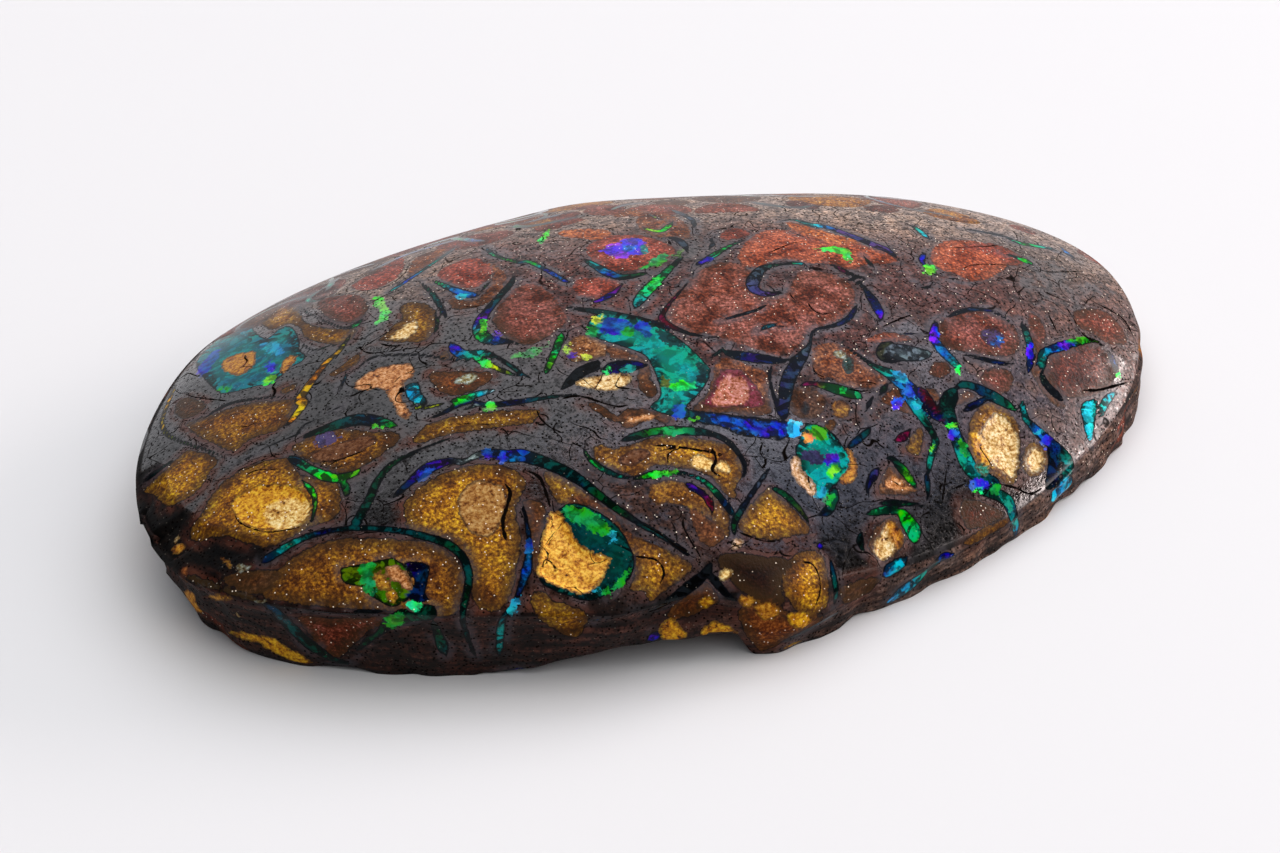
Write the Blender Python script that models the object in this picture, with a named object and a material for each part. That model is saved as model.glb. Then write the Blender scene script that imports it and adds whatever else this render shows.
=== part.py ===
"""Boulder opal specimen: one piece of ironstone with opal in its seams, polished to an oval dome.

The stone is a single solid. Its dome is ground and polished, its side is ground but rough, its left end is
chipped where a seam broke out, and its underside is flat with a hollow under the front edge.
Metres, +Z up. The origin is the middle of the stone's box, on the surface that it rests on.
"""

import math

import bmesh
import bpy
from mathutils import Vector, noise

MM = 0.001

# The girdle is the edge between dome and side. In plan it is an oval, turned a little from +X, which was
# ground flatter in some places and left fuller in others: angle, half width in degrees, and millimetres out.
OVAL_LONG = 30.0
OVAL_WIDE = 19.6
OVAL_TURN = 8.0
OVAL_SWELLS = (
    (46.0, 21.0, -2.4),
    (128.0, 20.0, 0.45),
    (176.0, 14.0, -1.3),
    (226.0, 12.0, -0.8),
    (268.0, 12.0, 0.35),
    (355.0, 16.0, 0.9),
)

# Height of the girdle: higher at the left end, twisted, and ground lowest at the front right.
GIRDLE_HEIGHT = 3.78
GIRDLE_TILT = 0.62
GIRDLE_TILT_ANGLE = 190.0
GIRDLE_TWIST = 0.58
GIRDLE_TWIST_ANGLE = 45.0
GIRDLE_SWELLS = (
    (35.0, 22.0, 0.45),
    (152.0, 22.0, 0.3),
    (313.0, 28.0, -0.95),
)

# The foot of the side is tucked in under the girdle: its mean tuck, and how much more at the left and back.
TUCK = 0.78
TUCK_LEFT = 0.98
TUCK_BACK = 0.19

# Dome: the middle of the girdle's plane, how far the crown stands above it, and the curve between them.
DOME_FOOT = 3.7
DOME_RISE = 6.54
DOME_POWER = 2.16
DOME_ROUND = 0.91
DOME_WAVE = 0.07
DOME_WAVE_LENGTH = 9.0

# Side: rings from the girdle down to the foot, as shares of its height, and the ledges that its layers leave.
SIDE_RINGS = (0.05, 0.13, 0.25, 0.38, 0.52, 0.66, 0.8, 0.92, 1.0)
GIRDLE_EASE = 0.12
LEDGE_HEIGHTS = (1.0, 2.1, 3.2)
LEDGE_STEP = 0.16
SIDE_ROUGH = 0.17
SIDE_GRAIN = 1.6

# Underside: rings inwards from the foot, and the broken margin around the flat.
UNDER_RINGS = (0.6, 1.6, 3.2, 5.2, 7.5)
CHIP_HEIGHT = 0.55
CHIP_LENGTH = 3.0

# Front hollow: a flake is missing under the front edge. It opens slowly from the left and ends in a step at
# the knob, and the girdle above it is worn back.
HOLLOW_START = 226.0
HOLLOW_FULL = 252.0
HOLLOW_STEP = 264.5
HOLLOW_END = 268.5
HOLLOW_HEIGHT = 1.8
HOLLOW_REACH = 6.0
WORN_ANGLE = 258.0
WORN_HALF_ANGLE = 6.0
GIRDLE_WORN = 0.9
WEAR_POWER = 9

# Front knob: the nodule beside the hollow stands out and rounds the girdle over.
KNOB_ANGLE = 274.0
KNOB_HALF_ANGLE = 7.5
KNOB_OUT = 0.55
KNOB_SWELL = 0.75
KNOB_GIRDLE = 0.33

# Left end: the polish ends on a broken scarp.
SCARP_ANGLE = 192.0
SCARP_HALF_ANGLE = 9.0
SCARP_EDGE = 5.0
SCARP_WIDTH = 0.14
SCARP_DROP = 0.65
SCARP_BLOCK = 2.4

# Pockets: soft fillings that polished lower than the ironstone around them.
# Each is a place on the dome in plan, its half length and half width, its turn in degrees, and its depth.
POCKETS = {
    "left_pan": (-22.7, -7.5, 2.4, 2.0, 10.0, 0.15),
    "front_island": (-9.4, -16.3, 2.7, 2.2, 70.0, 0.25),
    "right_pocket": (16.2, -12.2, 2.3, 1.5, 100.0, 0.25),
}

GRID_LONG = 54
GRID_WIDE = 36

STONE_COLOUR = (0.085, 0.045, 0.028, 1.0)
STONE_ROUGHNESS = 0.35


def bell(angle, centre, half_width):
    """1 at centre, falling smoothly to 0 at two half widths. Angle in radians, the rest in degrees."""
    away = (math.degrees(angle) - centre + 180.0) % 360.0 - 180.0
    share = min(1.0, abs(away) / (2.0 * half_width))
    return (1.0 - share**2) ** 2


def oval_reach(angle):
    """Reach of the girdle from the middle at an angle in radians."""
    turned = angle - math.radians(OVAL_TURN)
    reach = OVAL_LONG * OVAL_WIDE / math.hypot(OVAL_WIDE * math.cos(turned), OVAL_LONG * math.sin(turned))
    return reach + sum(out * bell(angle, centre, half_width) for centre, half_width, out in OVAL_SWELLS)


def girdle_height(angle):
    """Height of the girdle at an angle in radians, before any breakage."""
    height = GIRDLE_HEIGHT + GIRDLE_TILT * math.cos(angle - math.radians(GIRDLE_TILT_ANGLE))
    height += GIRDLE_TWIST * math.cos(2.0 * (angle - math.radians(GIRDLE_TWIST_ANGLE)))
    return height + sum(up * bell(angle, centre, half_width) for centre, half_width, up in GIRDLE_SWELLS)


def plateau(angle, centre, half_width, edge=2.5):
    """1 within half_width of centre, falling to 0 over edge degrees on both sides."""
    away = abs((math.degrees(angle) - centre + 180.0) % 360.0 - 180.0)
    share = min(1.0, max(0.0, (half_width + edge - away) / edge))
    return share * share * (3.0 - 2.0 * share)


def wobble(x, y, z, length, seed=0.0):
    """Smooth noise between about -1 and 1 with bumps about this long, in millimetres."""
    return noise.noise(Vector((x, y, z)) / length + Vector((seed, 17.3, 5.1))) * 1.6


def wear_at(angle):
    """How far the girdle is worn back over the hollow, less where the knob pushes it out."""
    worn = GIRDLE_WORN * bell(angle, WORN_ANGLE, WORN_HALF_ANGLE)
    return worn - KNOB_GIRDLE * bell(angle, KNOB_ANGLE, KNOB_HALF_ANGLE)


def ease(low, high, value):
    """0 below low, 1 above high, and smooth between them."""
    share = min(1.0, max(0.0, (value - low) / (high - low)))
    return share * share * (3.0 - 2.0 * share)


def tuck_at(angle):
    """How far the foot of the side lies in under the girdle."""
    return TUCK - TUCK_LEFT * math.cos(angle) + TUCK_BACK * math.sin(angle)


def hollow_at(angle):
    """Height of the front hollow's edge."""
    degrees = math.degrees(angle) % 360.0
    return HOLLOW_HEIGHT * ease(HOLLOW_START, HOLLOW_FULL, degrees) * ease(HOLLOW_END, HOLLOW_STEP, degrees)


def scarp_at(rho, angle):
    """How far the broken left end lies below the polished dome."""
    zone = plateau(angle, SCARP_ANGLE, SCARP_HALF_ANGLE, SCARP_EDGE)
    inner = 1.0 - SCARP_WIDTH * (0.7 + 0.3 * math.cos(5.0 * angle))
    share = min(1.0, max(0.0, (rho - inner) / (1.0 - inner)))
    return zone * SCARP_DROP * share**0.6


def pocket_at(x, y):
    """How far the pockets sink the dome at a place in plan."""
    depth = 0.0
    for middle_x, middle_y, long, wide, turn, deep in POCKETS.values():
        c, s = math.cos(math.radians(turn)), math.sin(math.radians(turn))
        along = ((x - middle_x) * c + (y - middle_y) * s) / long
        across = ((y - middle_y) * c - (x - middle_x) * s) / wide
        share = min(1.0, math.hypot(along, across) / 1.25)
        depth = max(depth, deep * (1.0 - share**4))
    return depth


def dome_point(rho, angle):
    """A point of the dome, from 0 at the crown to 1 at the girdle."""
    reach = oval_reach(angle) * rho - wear_at(angle) * rho**WEAR_POWER
    x, y = reach * math.cos(angle), reach * math.sin(angle)
    z = DOME_FOOT * (1.0 - rho**2) + girdle_height(angle) * rho**2
    z += DOME_RISE * max(0.0, 1.0 - rho**DOME_POWER) ** DOME_ROUND
    z += DOME_WAVE * wobble(x, y, z, DOME_WAVE_LENGTH) * (1.0 - rho**6)
    drop = scarp_at(rho, angle)
    block = noise.cell(Vector((x, y, z)) / SCARP_BLOCK)
    z -= drop * (0.6 + 0.8 * block) + pocket_at(x, y)
    return Vector((x, y, z))


def foot_lift(angle):
    """Height of the foot of the side above the surface that the stone rests on."""
    reach = oval_reach(angle)
    x, y = reach * math.cos(angle), reach * math.sin(angle)
    chips = CHIP_HEIGHT * max(0.0, wobble(x, y, 0.0, CHIP_LENGTH, 3.0))
    chips *= 1.0 - plateau(angle, KNOB_ANGLE - 2.0, 2.5)
    return max(chips, hollow_at(angle))


def side_point(share, angle):
    """A point of the side, from 0 at the girdle to 1 at the foot."""
    top = dome_point(1.0, angle)
    z = top.z + (foot_lift(angle) - top.z) * share
    out = oval_reach(angle) - wear_at(angle) * (1.0 - 0.9 * share) - tuck_at(angle) * share
    x, y = out * math.cos(angle), out * math.sin(angle)
    fade = math.sin(math.pi * min(1.0, share * 1.15) ** 0.5)
    ledges = sum(math.tanh((level + 0.5 * wobble(x, y, 0.0, 8.0, 9.0) - z) * 6.0) for level in LEDGE_HEIGHTS)
    out += GIRDLE_EASE * math.sin(math.pi * min(1.0, share * 4.0))
    out += LEDGE_STEP * ledges * fade * (0.6 + 0.7 * wobble(x, y, 0.0, 6.0, 21.0))
    out += SIDE_ROUGH * wobble(x, y, z, SIDE_GRAIN, 40.0) * min(1.0, share * 5.0)
    out += KNOB_OUT * bell(angle, KNOB_ANGLE, KNOB_HALF_ANGLE) * math.sin(KNOB_SWELL * math.pi * share**0.7)
    return Vector((out * math.cos(angle), out * math.sin(angle), z))


def under_point(inwards, angle):
    """A point of the underside, this far in from the foot."""
    foot = side_point(1.0, angle)
    reach = math.hypot(foot.x, foot.y) - inwards
    chipped = foot_lift(angle) * (1.0 - inwards / UNDER_RINGS[-1]) ** 2
    hollowed = hollow_at(angle) * (1.0 - min(1.0, inwards / HOLLOW_REACH) ** 2)
    return Vector((reach * math.cos(angle), reach * math.sin(angle), max(chipped, hollowed)))


def disc_of(x, y):
    """A point of the unit square moved to the unit disc: its share of the radius and its angle."""
    u = x * math.sqrt(1.0 - y * y / 2.0)
    v = y * math.sqrt(1.0 - x * x / 2.0)
    return min(1.0, math.hypot(u, v)), math.atan2(v, u)


def next_ring(bm, edges, place):
    """Extrudes the open edge loop, puts its new vertices where place(angle) says, returns the new loop."""
    made = bmesh.ops.extrude_edge_only(bm, edges=edges)["geom"]
    for vert in (item for item in made if isinstance(item, bmesh.types.BMVert)):
        vert.co = place(math.atan2(vert.co.y, vert.co.x))
    return [item for item in made if isinstance(item, bmesh.types.BMEdge) and item.is_boundary]


def stone_mesh():
    """The whole stone as one closed mesh: a grid for the dome, rings down the side and in underneath."""
    bm = bmesh.new()
    bmesh.ops.create_grid(bm, x_segments=GRID_LONG, y_segments=GRID_WIDE, size=1.0)
    for vert in bm.verts:
        vert.co = dome_point(*disc_of(vert.co.x, vert.co.y))
    loop = [edge for edge in bm.edges if edge.is_boundary]
    for share in SIDE_RINGS:
        loop = next_ring(bm, loop, lambda angle, share=share: side_point(share, angle))
    for inwards in UNDER_RINGS:
        loop = next_ring(bm, loop, lambda angle, inwards=inwards: under_point(inwards, angle))
    bmesh.ops.holes_fill(bm, edges=loop)
    bmesh.ops.recalc_face_normals(bm, faces=bm.faces)
    return bm


def centre_on_origin(bm):
    """Moves the mesh so that the middle of its box is over the origin and its lowest point is at zero."""
    low = [min(vert.co[axis] for vert in bm.verts) for axis in range(3)]
    high = [max(vert.co[axis] for vert in bm.verts) for axis in range(3)]
    bmesh.ops.translate(
        bm, verts=bm.verts, vec=(-(low[0] + high[0]) / 2, -(low[1] + high[1]) / 2, -low[2])
    )


def stone_material():
    """Polished ironstone: dark brown, with a soft gloss."""
    material = bpy.data.materials.new("ironstone")
    material.use_nodes = True
    shader = material.node_tree.nodes["Principled BSDF"]
    shader.inputs["Base Color"].default_value = STONE_COLOUR
    shader.inputs["Roughness"].default_value = STONE_ROUGHNESS
    shader.inputs["Metallic"].default_value = 0.0
    return material


def main():
    for thing in list(bpy.data.objects):
        bpy.data.objects.remove(thing)
    bm = stone_mesh()
    centre_on_origin(bm)
    bmesh.ops.scale(bm, vec=(MM, MM, MM), verts=bm.verts)
    mesh = bpy.data.meshes.new("opal_stone")
    bm.to_mesh(mesh)
    bm.free()
    mesh.materials.append(stone_material())
    mesh.shade_smooth()
    mesh.set_sharp_from_angle(angle=math.radians(40.0))
    stone = bpy.data.objects.new("opal_stone", mesh)
    bpy.context.scene.collection.objects.link(stone)


main()
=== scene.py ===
# %% [markdown]
# # A polished boulder opal
#
# The real thing is one stone: dark ironstone from the outback, cracked and knotted with round nodules, whose
# seams were filled with precious opal. A lapidary sawed it flat underneath, ground it to an oval and polished
# only the dome. This notebook models that dome and its rough side, draws the nodules and seams on it as
# distances that a material can read, and lights it as on a jeweller's pale table.

import math
import random

import bmesh
import bpy
import numpy as np
from mathutils import Matrix, Vector, bvhtree, kdtree, noise


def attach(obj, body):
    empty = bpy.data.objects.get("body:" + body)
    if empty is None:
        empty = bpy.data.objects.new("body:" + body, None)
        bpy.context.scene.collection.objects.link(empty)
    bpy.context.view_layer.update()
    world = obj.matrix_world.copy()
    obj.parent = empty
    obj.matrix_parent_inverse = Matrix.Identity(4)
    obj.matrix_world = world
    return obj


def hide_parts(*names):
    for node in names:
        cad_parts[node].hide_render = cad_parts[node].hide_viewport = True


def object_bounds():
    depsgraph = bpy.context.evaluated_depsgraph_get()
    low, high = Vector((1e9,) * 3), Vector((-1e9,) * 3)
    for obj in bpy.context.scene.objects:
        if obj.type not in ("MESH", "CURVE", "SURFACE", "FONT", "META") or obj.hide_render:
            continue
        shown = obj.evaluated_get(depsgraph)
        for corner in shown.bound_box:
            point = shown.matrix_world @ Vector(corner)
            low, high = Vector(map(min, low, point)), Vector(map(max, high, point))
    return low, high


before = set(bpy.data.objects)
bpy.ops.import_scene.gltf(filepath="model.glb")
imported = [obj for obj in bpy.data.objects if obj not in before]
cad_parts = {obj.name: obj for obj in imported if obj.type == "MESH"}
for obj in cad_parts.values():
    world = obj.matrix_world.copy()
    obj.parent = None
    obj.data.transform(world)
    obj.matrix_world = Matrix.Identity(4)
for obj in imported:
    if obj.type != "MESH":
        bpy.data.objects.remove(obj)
cad_low, cad_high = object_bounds()
MM = 0.001
print("CAD box in mm:", [round((high - low) / MM, 1) for low, high in zip(cad_low, cad_high)])

# %% [markdown]
# ## The camera
#
# The stone is seen from a little left of its front, about 35 degrees above the table, with a long macro lens.
# A long lens from far away keeps the oval from looking swollen. The camera comes first, because the markings
# are placed by where they lie in its view.

# %% The camera and its view
VIEW_WIDE = 1280
VIEW_HIGH = 853
VIEW_AZIMUTH = math.radians(-20.1)
VIEW_ELEVATION = math.radians(34.9)
VIEW_DISTANCE = 192.9
VIEW_TARGET = Vector((-2.53, -4.47, 5.0))
LENS = 100.0
SENSOR = 36.0

back = Vector(
    (
        math.sin(VIEW_AZIMUTH) * math.cos(VIEW_ELEVATION),
        -math.cos(VIEW_AZIMUTH) * math.cos(VIEW_ELEVATION),
        math.sin(VIEW_ELEVATION),
    )
)
right = Vector((math.cos(VIEW_AZIMUTH), math.sin(VIEW_AZIMUTH), 0.0))
up = back.cross(right)
eye = VIEW_TARGET + back * VIEW_DISTANCE
PIXELS_PER_SLOPE = LENS / SENSOR * VIEW_WIDE

camera_data = bpy.data.cameras.new("camera")
camera_data.lens = LENS
camera_data.sensor_width = SENSOR
camera_data.clip_start = 0.01
camera_data.clip_end = 20.0
camera = bpy.data.objects.new("camera", camera_data)
turn = Matrix((right, up, back)).transposed().to_4x4()
camera.matrix_world = Matrix.Translation(eye * MM) @ turn
bpy.context.scene.collection.objects.link(camera)
bpy.context.scene.camera = camera
print("camera at", [round(value, 1) for value in eye], "mm")


# %% From the stone to the view and back
def in_view(points):
    """Where points of the stone, an array in millimetres, fall in the view, in pixels from its top left."""
    away = points - np.array(eye)
    depth = -(away @ np.array(back))
    across = VIEW_WIDE / 2 + PIXELS_PER_SLOPE * (away @ np.array(right)) / depth
    down = VIEW_HIGH / 2 - PIXELS_PER_SLOPE * (away @ np.array(up)) / depth
    return np.stack([across, down], axis=1)


def sight_line(across, down):
    """The direction in which the camera sees a pixel."""
    slope = right * (across - VIEW_WIDE / 2) + up * (VIEW_HIGH / 2 - down) - back * PIXELS_PER_SLOPE
    return slope.normalized()


# %% [markdown]
# ## The stone's shape
#
# A cutter grinds the girdle first, the edge between dome and side, and then the dome down to it. The script
# does the same: one rule gives the girdle's reach and height all round, a second lifts the dome over it, and a
# third lets the rough side fall away below. A grid becomes the dome, because its cells stay nearly square
# everywhere, where rings of a sphere would crowd at the crown. Its open edge is then extruded down the side
# and in underneath, so that the stone is one closed skin.

# %% Sizes of the stone, in millimetres
# The girdle is the edge between dome and side. In plan it is an oval, turned a little from +X, which was
# ground flatter in some places and left fuller in others: angle, half width in degrees, and millimetres out.
OVAL_LONG = 30.0
OVAL_WIDE = 19.6
OVAL_TURN = 8.0
OVAL_SWELLS = (
    (46.0, 21.0, -2.4),
    (128.0, 20.0, 0.45),
    (176.0, 14.0, -1.3),
    (226.0, 12.0, -0.8),
    (268.0, 12.0, 0.35),
    (355.0, 16.0, 0.9),
)

# Height of the girdle: higher at the left end, twisted, and ground lowest at the front right.
GIRDLE_HEIGHT = 3.78
GIRDLE_TILT = 0.62
GIRDLE_TILT_ANGLE = 190.0
GIRDLE_TWIST = 0.58
GIRDLE_TWIST_ANGLE = 45.0
GIRDLE_SWELLS = (
    (35.0, 22.0, 0.45),
    (152.0, 22.0, 0.3),
    (313.0, 28.0, -0.95),
)

# The foot of the side is tucked in under the girdle: its mean tuck, and how much more at the left and back.
TUCK = 0.78
TUCK_LEFT = 0.98
TUCK_BACK = 0.19

# Dome: the middle of the girdle's plane, how far the crown stands above it, and the curve between them.
DOME_FOOT = 3.7
DOME_RISE = 6.54
DOME_POWER = 2.16
DOME_ROUND = 0.91
DOME_WAVE = 0.07
DOME_WAVE_LENGTH = 9.0

# Side: the ledges that its layers leave, and its grain.
GIRDLE_EASE = 0.12
LEDGE_HEIGHTS = (1.0, 2.1, 3.2)
LEDGE_STEP = 0.16
SIDE_ROUGH = 0.17
SIDE_GRAIN = 1.6

# Underside: the broken margin around the flat.
UNDER_MARGIN = 7.5
CHIP_HEIGHT = 0.55
CHIP_LENGTH = 3.0

# Front hollow: a flake is missing under the front edge. It opens slowly from the left and ends in a step at
# the knob, and the girdle above it is worn back.
HOLLOW_START = 226.0
HOLLOW_FULL = 252.0
HOLLOW_STEP = 264.5
HOLLOW_END = 268.5
HOLLOW_HEIGHT = 1.8
HOLLOW_REACH = 6.0
WORN_ANGLE = 258.0
WORN_HALF_ANGLE = 6.0
GIRDLE_WORN = 0.9
WEAR_POWER = 9

# Front knob: the nodule beside the hollow stands out and rounds the girdle over.
KNOB_ANGLE = 274.0
KNOB_HALF_ANGLE = 7.5
KNOB_OUT = 0.55
KNOB_SWELL = 0.75
KNOB_GIRDLE = 0.33

# Left end: the polish ends on a broken scarp.
SCARP_ANGLE = 192.0
SCARP_HALF_ANGLE = 9.0
SCARP_EDGE = 5.0
SCARP_WIDTH = 0.14
SCARP_DROP = 0.65
SCARP_BLOCK = 2.4


# %% The rules that shape it
def bell(angle, centre, half_width):
    """1 at centre, falling smoothly to 0 at two half widths. Angle in radians, the rest in degrees."""
    away = (math.degrees(angle) - centre + 180.0) % 360.0 - 180.0
    share = min(1.0, abs(away) / (2.0 * half_width))
    return (1.0 - share**2) ** 2


def oval_reach(angle):
    """Reach of the girdle from the middle at an angle in radians."""
    turned = angle - math.radians(OVAL_TURN)
    reach = OVAL_LONG * OVAL_WIDE / math.hypot(OVAL_WIDE * math.cos(turned), OVAL_LONG * math.sin(turned))
    return reach + sum(out * bell(angle, centre, half_width) for centre, half_width, out in OVAL_SWELLS)


def girdle_height(angle):
    """Height of the girdle at an angle in radians, before any breakage."""
    height = GIRDLE_HEIGHT + GIRDLE_TILT * math.cos(angle - math.radians(GIRDLE_TILT_ANGLE))
    height += GIRDLE_TWIST * math.cos(2.0 * (angle - math.radians(GIRDLE_TWIST_ANGLE)))
    return height + sum(up * bell(angle, centre, half_width) for centre, half_width, up in GIRDLE_SWELLS)


def plateau(angle, centre, half_width, edge=2.5):
    """1 within half_width of centre, falling to 0 over edge degrees on both sides."""
    away = abs((math.degrees(angle) - centre + 180.0) % 360.0 - 180.0)
    share = min(1.0, max(0.0, (half_width + edge - away) / edge))
    return share * share * (3.0 - 2.0 * share)


def wobble(x, y, z, length, seed=0.0):
    """Smooth noise between about -1 and 1 with bumps about this long, in millimetres."""
    return noise.noise(Vector((x, y, z)) / length + Vector((seed, 17.3, 5.1))) * 1.6


def wear_at(angle):
    """How far the girdle is worn back over the hollow, less where the knob pushes it out."""
    worn = GIRDLE_WORN * bell(angle, WORN_ANGLE, WORN_HALF_ANGLE)
    return worn - KNOB_GIRDLE * bell(angle, KNOB_ANGLE, KNOB_HALF_ANGLE)


def ease(low, high, value):
    """0 below low, 1 above high, and smooth between them."""
    share = min(1.0, max(0.0, (value - low) / (high - low)))
    return share * share * (3.0 - 2.0 * share)


def tuck_at(angle):
    """How far the foot of the side lies in under the girdle."""
    return TUCK - TUCK_LEFT * math.cos(angle) + TUCK_BACK * math.sin(angle)


def hollow_at(angle):
    """Height of the front hollow's edge."""
    degrees = math.degrees(angle) % 360.0
    return HOLLOW_HEIGHT * ease(HOLLOW_START, HOLLOW_FULL, degrees) * ease(HOLLOW_END, HOLLOW_STEP, degrees)


def scarp_at(rho, angle):
    """How far the broken left end lies below the polished dome."""
    zone = plateau(angle, SCARP_ANGLE, SCARP_HALF_ANGLE, SCARP_EDGE)
    inner = 1.0 - SCARP_WIDTH * (0.7 + 0.3 * math.cos(5.0 * angle))
    share = min(1.0, max(0.0, (rho - inner) / (1.0 - inner)))
    return zone * SCARP_DROP * share**0.6


def dome_point(rho, angle):
    """A point of the dome, from 0 at the crown to 1 at the girdle."""
    reach = oval_reach(angle) * rho - wear_at(angle) * rho**WEAR_POWER
    x, y = reach * math.cos(angle), reach * math.sin(angle)
    z = DOME_FOOT * (1.0 - rho**2) + girdle_height(angle) * rho**2
    z += DOME_RISE * max(0.0, 1.0 - rho**DOME_POWER) ** DOME_ROUND
    z += DOME_WAVE * wobble(x, y, z, DOME_WAVE_LENGTH) * (1.0 - rho**6)
    drop = scarp_at(rho, angle)
    block = noise.cell(Vector((x, y, z)) / SCARP_BLOCK)
    z -= drop * (0.6 + 0.8 * block)
    return Vector((x, y, z))


def foot_lift(angle):
    """Height of the foot of the side above the surface that the stone rests on."""
    reach = oval_reach(angle)
    x, y = reach * math.cos(angle), reach * math.sin(angle)
    chips = CHIP_HEIGHT * max(0.0, wobble(x, y, 0.0, CHIP_LENGTH, 3.0))
    chips *= 1.0 - plateau(angle, KNOB_ANGLE - 2.0, 2.5)
    return max(chips, hollow_at(angle))


def side_point(share, angle):
    """A point of the side, from 0 at the girdle to 1 at the foot."""
    top = dome_point(1.0, angle)
    z = top.z + (foot_lift(angle) - top.z) * share
    out = oval_reach(angle) - wear_at(angle) * (1.0 - 0.9 * share) - tuck_at(angle) * share
    x, y = out * math.cos(angle), out * math.sin(angle)
    fade = math.sin(math.pi * min(1.0, share * 1.15) ** 0.5)
    ledges = sum(math.tanh((level + 0.5 * wobble(x, y, 0.0, 8.0, 9.0) - z) * 6.0) for level in LEDGE_HEIGHTS)
    out += GIRDLE_EASE * math.sin(math.pi * min(1.0, share * 4.0))
    out += LEDGE_STEP * ledges * fade * (0.6 + 0.7 * wobble(x, y, 0.0, 6.0, 21.0))
    out += SIDE_ROUGH * wobble(x, y, z, SIDE_GRAIN, 40.0) * min(1.0, share * 5.0)
    out += KNOB_OUT * bell(angle, KNOB_ANGLE, KNOB_HALF_ANGLE) * math.sin(KNOB_SWELL * math.pi * share**0.7)
    return Vector((out * math.cos(angle), out * math.sin(angle), z))


def under_point(inwards, angle):
    """A point of the underside, this far in from the foot."""
    foot = side_point(1.0, angle)
    reach = math.hypot(foot.x, foot.y) - inwards
    chipped = foot_lift(angle) * (1.0 - inwards / UNDER_MARGIN) ** 2
    hollowed = hollow_at(angle) * (1.0 - min(1.0, inwards / HOLLOW_REACH) ** 2)
    return Vector((reach * math.cos(angle), reach * math.sin(angle), max(chipped, hollowed)))


# %% The stone as a bmesh
GRID_LONG = 288
GRID_WIDE = 192
SIDE_RINGS = 17
UNDER_STEPS = (0.2, 0.5, 1.0, 1.6, 2.4, 3.6, 5.2, 7.5)


def disc_of(x, y):
    """A point of the unit square moved to the unit disc: its share of the radius and its angle."""
    u = x * math.sqrt(1.0 - y * y / 2.0)
    v = y * math.sqrt(1.0 - x * x / 2.0)
    return min(1.0, math.hypot(u, v)), math.atan2(v, u)


def next_ring(edges, place):
    """Extrudes the open edge loop, puts its new vertices where place(angle) says, returns the new loop."""
    made = bmesh.ops.extrude_edge_only(stone, edges=edges)["geom"]
    for vert in (item for item in made if isinstance(item, bmesh.types.BMVert)):
        vert.co = place(math.atan2(vert.co.y, vert.co.x))
    return [item for item in made if isinstance(item, bmesh.types.BMEdge) and item.is_boundary]


stone = bmesh.new()
bmesh.ops.create_grid(stone, x_segments=GRID_LONG, y_segments=GRID_WIDE, size=1.0)
for vert in stone.verts:
    vert.co = dome_point(*disc_of(vert.co.x, vert.co.y))
dome_count = len(stone.verts)
loop = [edge for edge in stone.edges if edge.is_boundary]
for ring in range(1, SIDE_RINGS + 1):
    share = (ring / SIDE_RINGS) ** 1.15
    loop = next_ring(loop, lambda angle: side_point(share, angle))
side_count = len(stone.verts)
for inwards in UNDER_STEPS:
    loop = next_ring(loop, lambda angle: under_point(inwards, angle))
bmesh.ops.holes_fill(stone, edges=loop)
bmesh.ops.recalc_face_normals(stone, faces=stone.faces)

corners = np.array([vert.co for vert in stone.verts])
middle = (corners.min(axis=0) + corners.max(axis=0)) / 2
cad_middle = (np.array(cad_low) + np.array(cad_high)) / 2 / MM
offset = cad_middle - middle
offset[2] = -corners[:, 2].min()
bmesh.ops.translate(stone, verts=stone.verts, vec=offset)
stone.verts.ensure_lookup_table()
stone.verts.index_update()
stone.normal_update()
print("stone:", len(stone.verts), "vertices,", sum(len(face.verts) - 2 for face in stone.faces), "triangles")

# %% [markdown]
# ## Drawing on the stone
#
# The nodules and seams are colour inside the stone, laid bare by the polish, so they aren't raised. An image
# would blur up close, and a colour for each vertex would show the mesh. Instead each outline becomes a
# distance: how many millimetres a point lies inside it. Distances blend smoothly between vertices, so a
# material can cut them sharply at zero, roughen the edge with noise and darken the rim.

# %% A layer of marks: how far inside a mark each vertex lies, and the mark's colour there
FAR = -2.0
REACH = 1.2
LINE_STEP = 1.3

spots = np.array([vert.co for vert in stone.verts])
faces_of_stone = bvhtree.BVHTree.FromBMesh(stone)
tree = kdtree.KDTree(len(spots))
for index, spot in enumerate(spots):
    tree.insert(spot, index)
tree.balance()
towards_eye = np.array(eye) - spots
normals = np.array([vert.normal for vert in stone.verts])
facing = (normals * towards_eye).sum(axis=1) / np.linalg.norm(towards_eye, axis=1)
seen = facing > 0.0
view_spots = in_view(spots)


def linear(code):
    """An sRGB colour such as #c09040 as linear red, green and blue."""
    shares = [int(code[start : start + 2], 16) / 255 for start in (1, 3, 5)]
    return [share / 12.92 if share <= 0.04045 else ((share + 0.055) / 1.055) ** 2.4 for share in shares]


def new_layer():
    return {"inside": np.full(len(spots), FAR), "tint": np.zeros((len(spots), 3))}


def smooth_line(points, closed=False):
    """A smooth line through points of the view, as points about LINE_STEP pixels apart."""
    count = len(points)
    spans = count if closed else count - 1
    line = []
    for index in range(spans):
        if closed:
            a, b, c, d = (np.array(points[(index + step) % count], float) for step in (-1, 0, 1, 2))
        else:
            a, b, c, d = (
                np.array(points[min(count - 1, max(0, index + step))], float) for step in (-1, 0, 1, 2)
            )
        steps = max(2, int(np.linalg.norm(c - b) / LINE_STEP))
        for step in range(steps):
            t = step / steps
            line.append(
                0.5
                * (2 * b + (c - a) * t + (2 * a - 5 * b + 4 * c - d) * t**2 + (3 * b - a - 3 * c + d) * t**3)
            )
    if not closed:
        line.append(np.array(points[-1], float))
    return line


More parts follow.
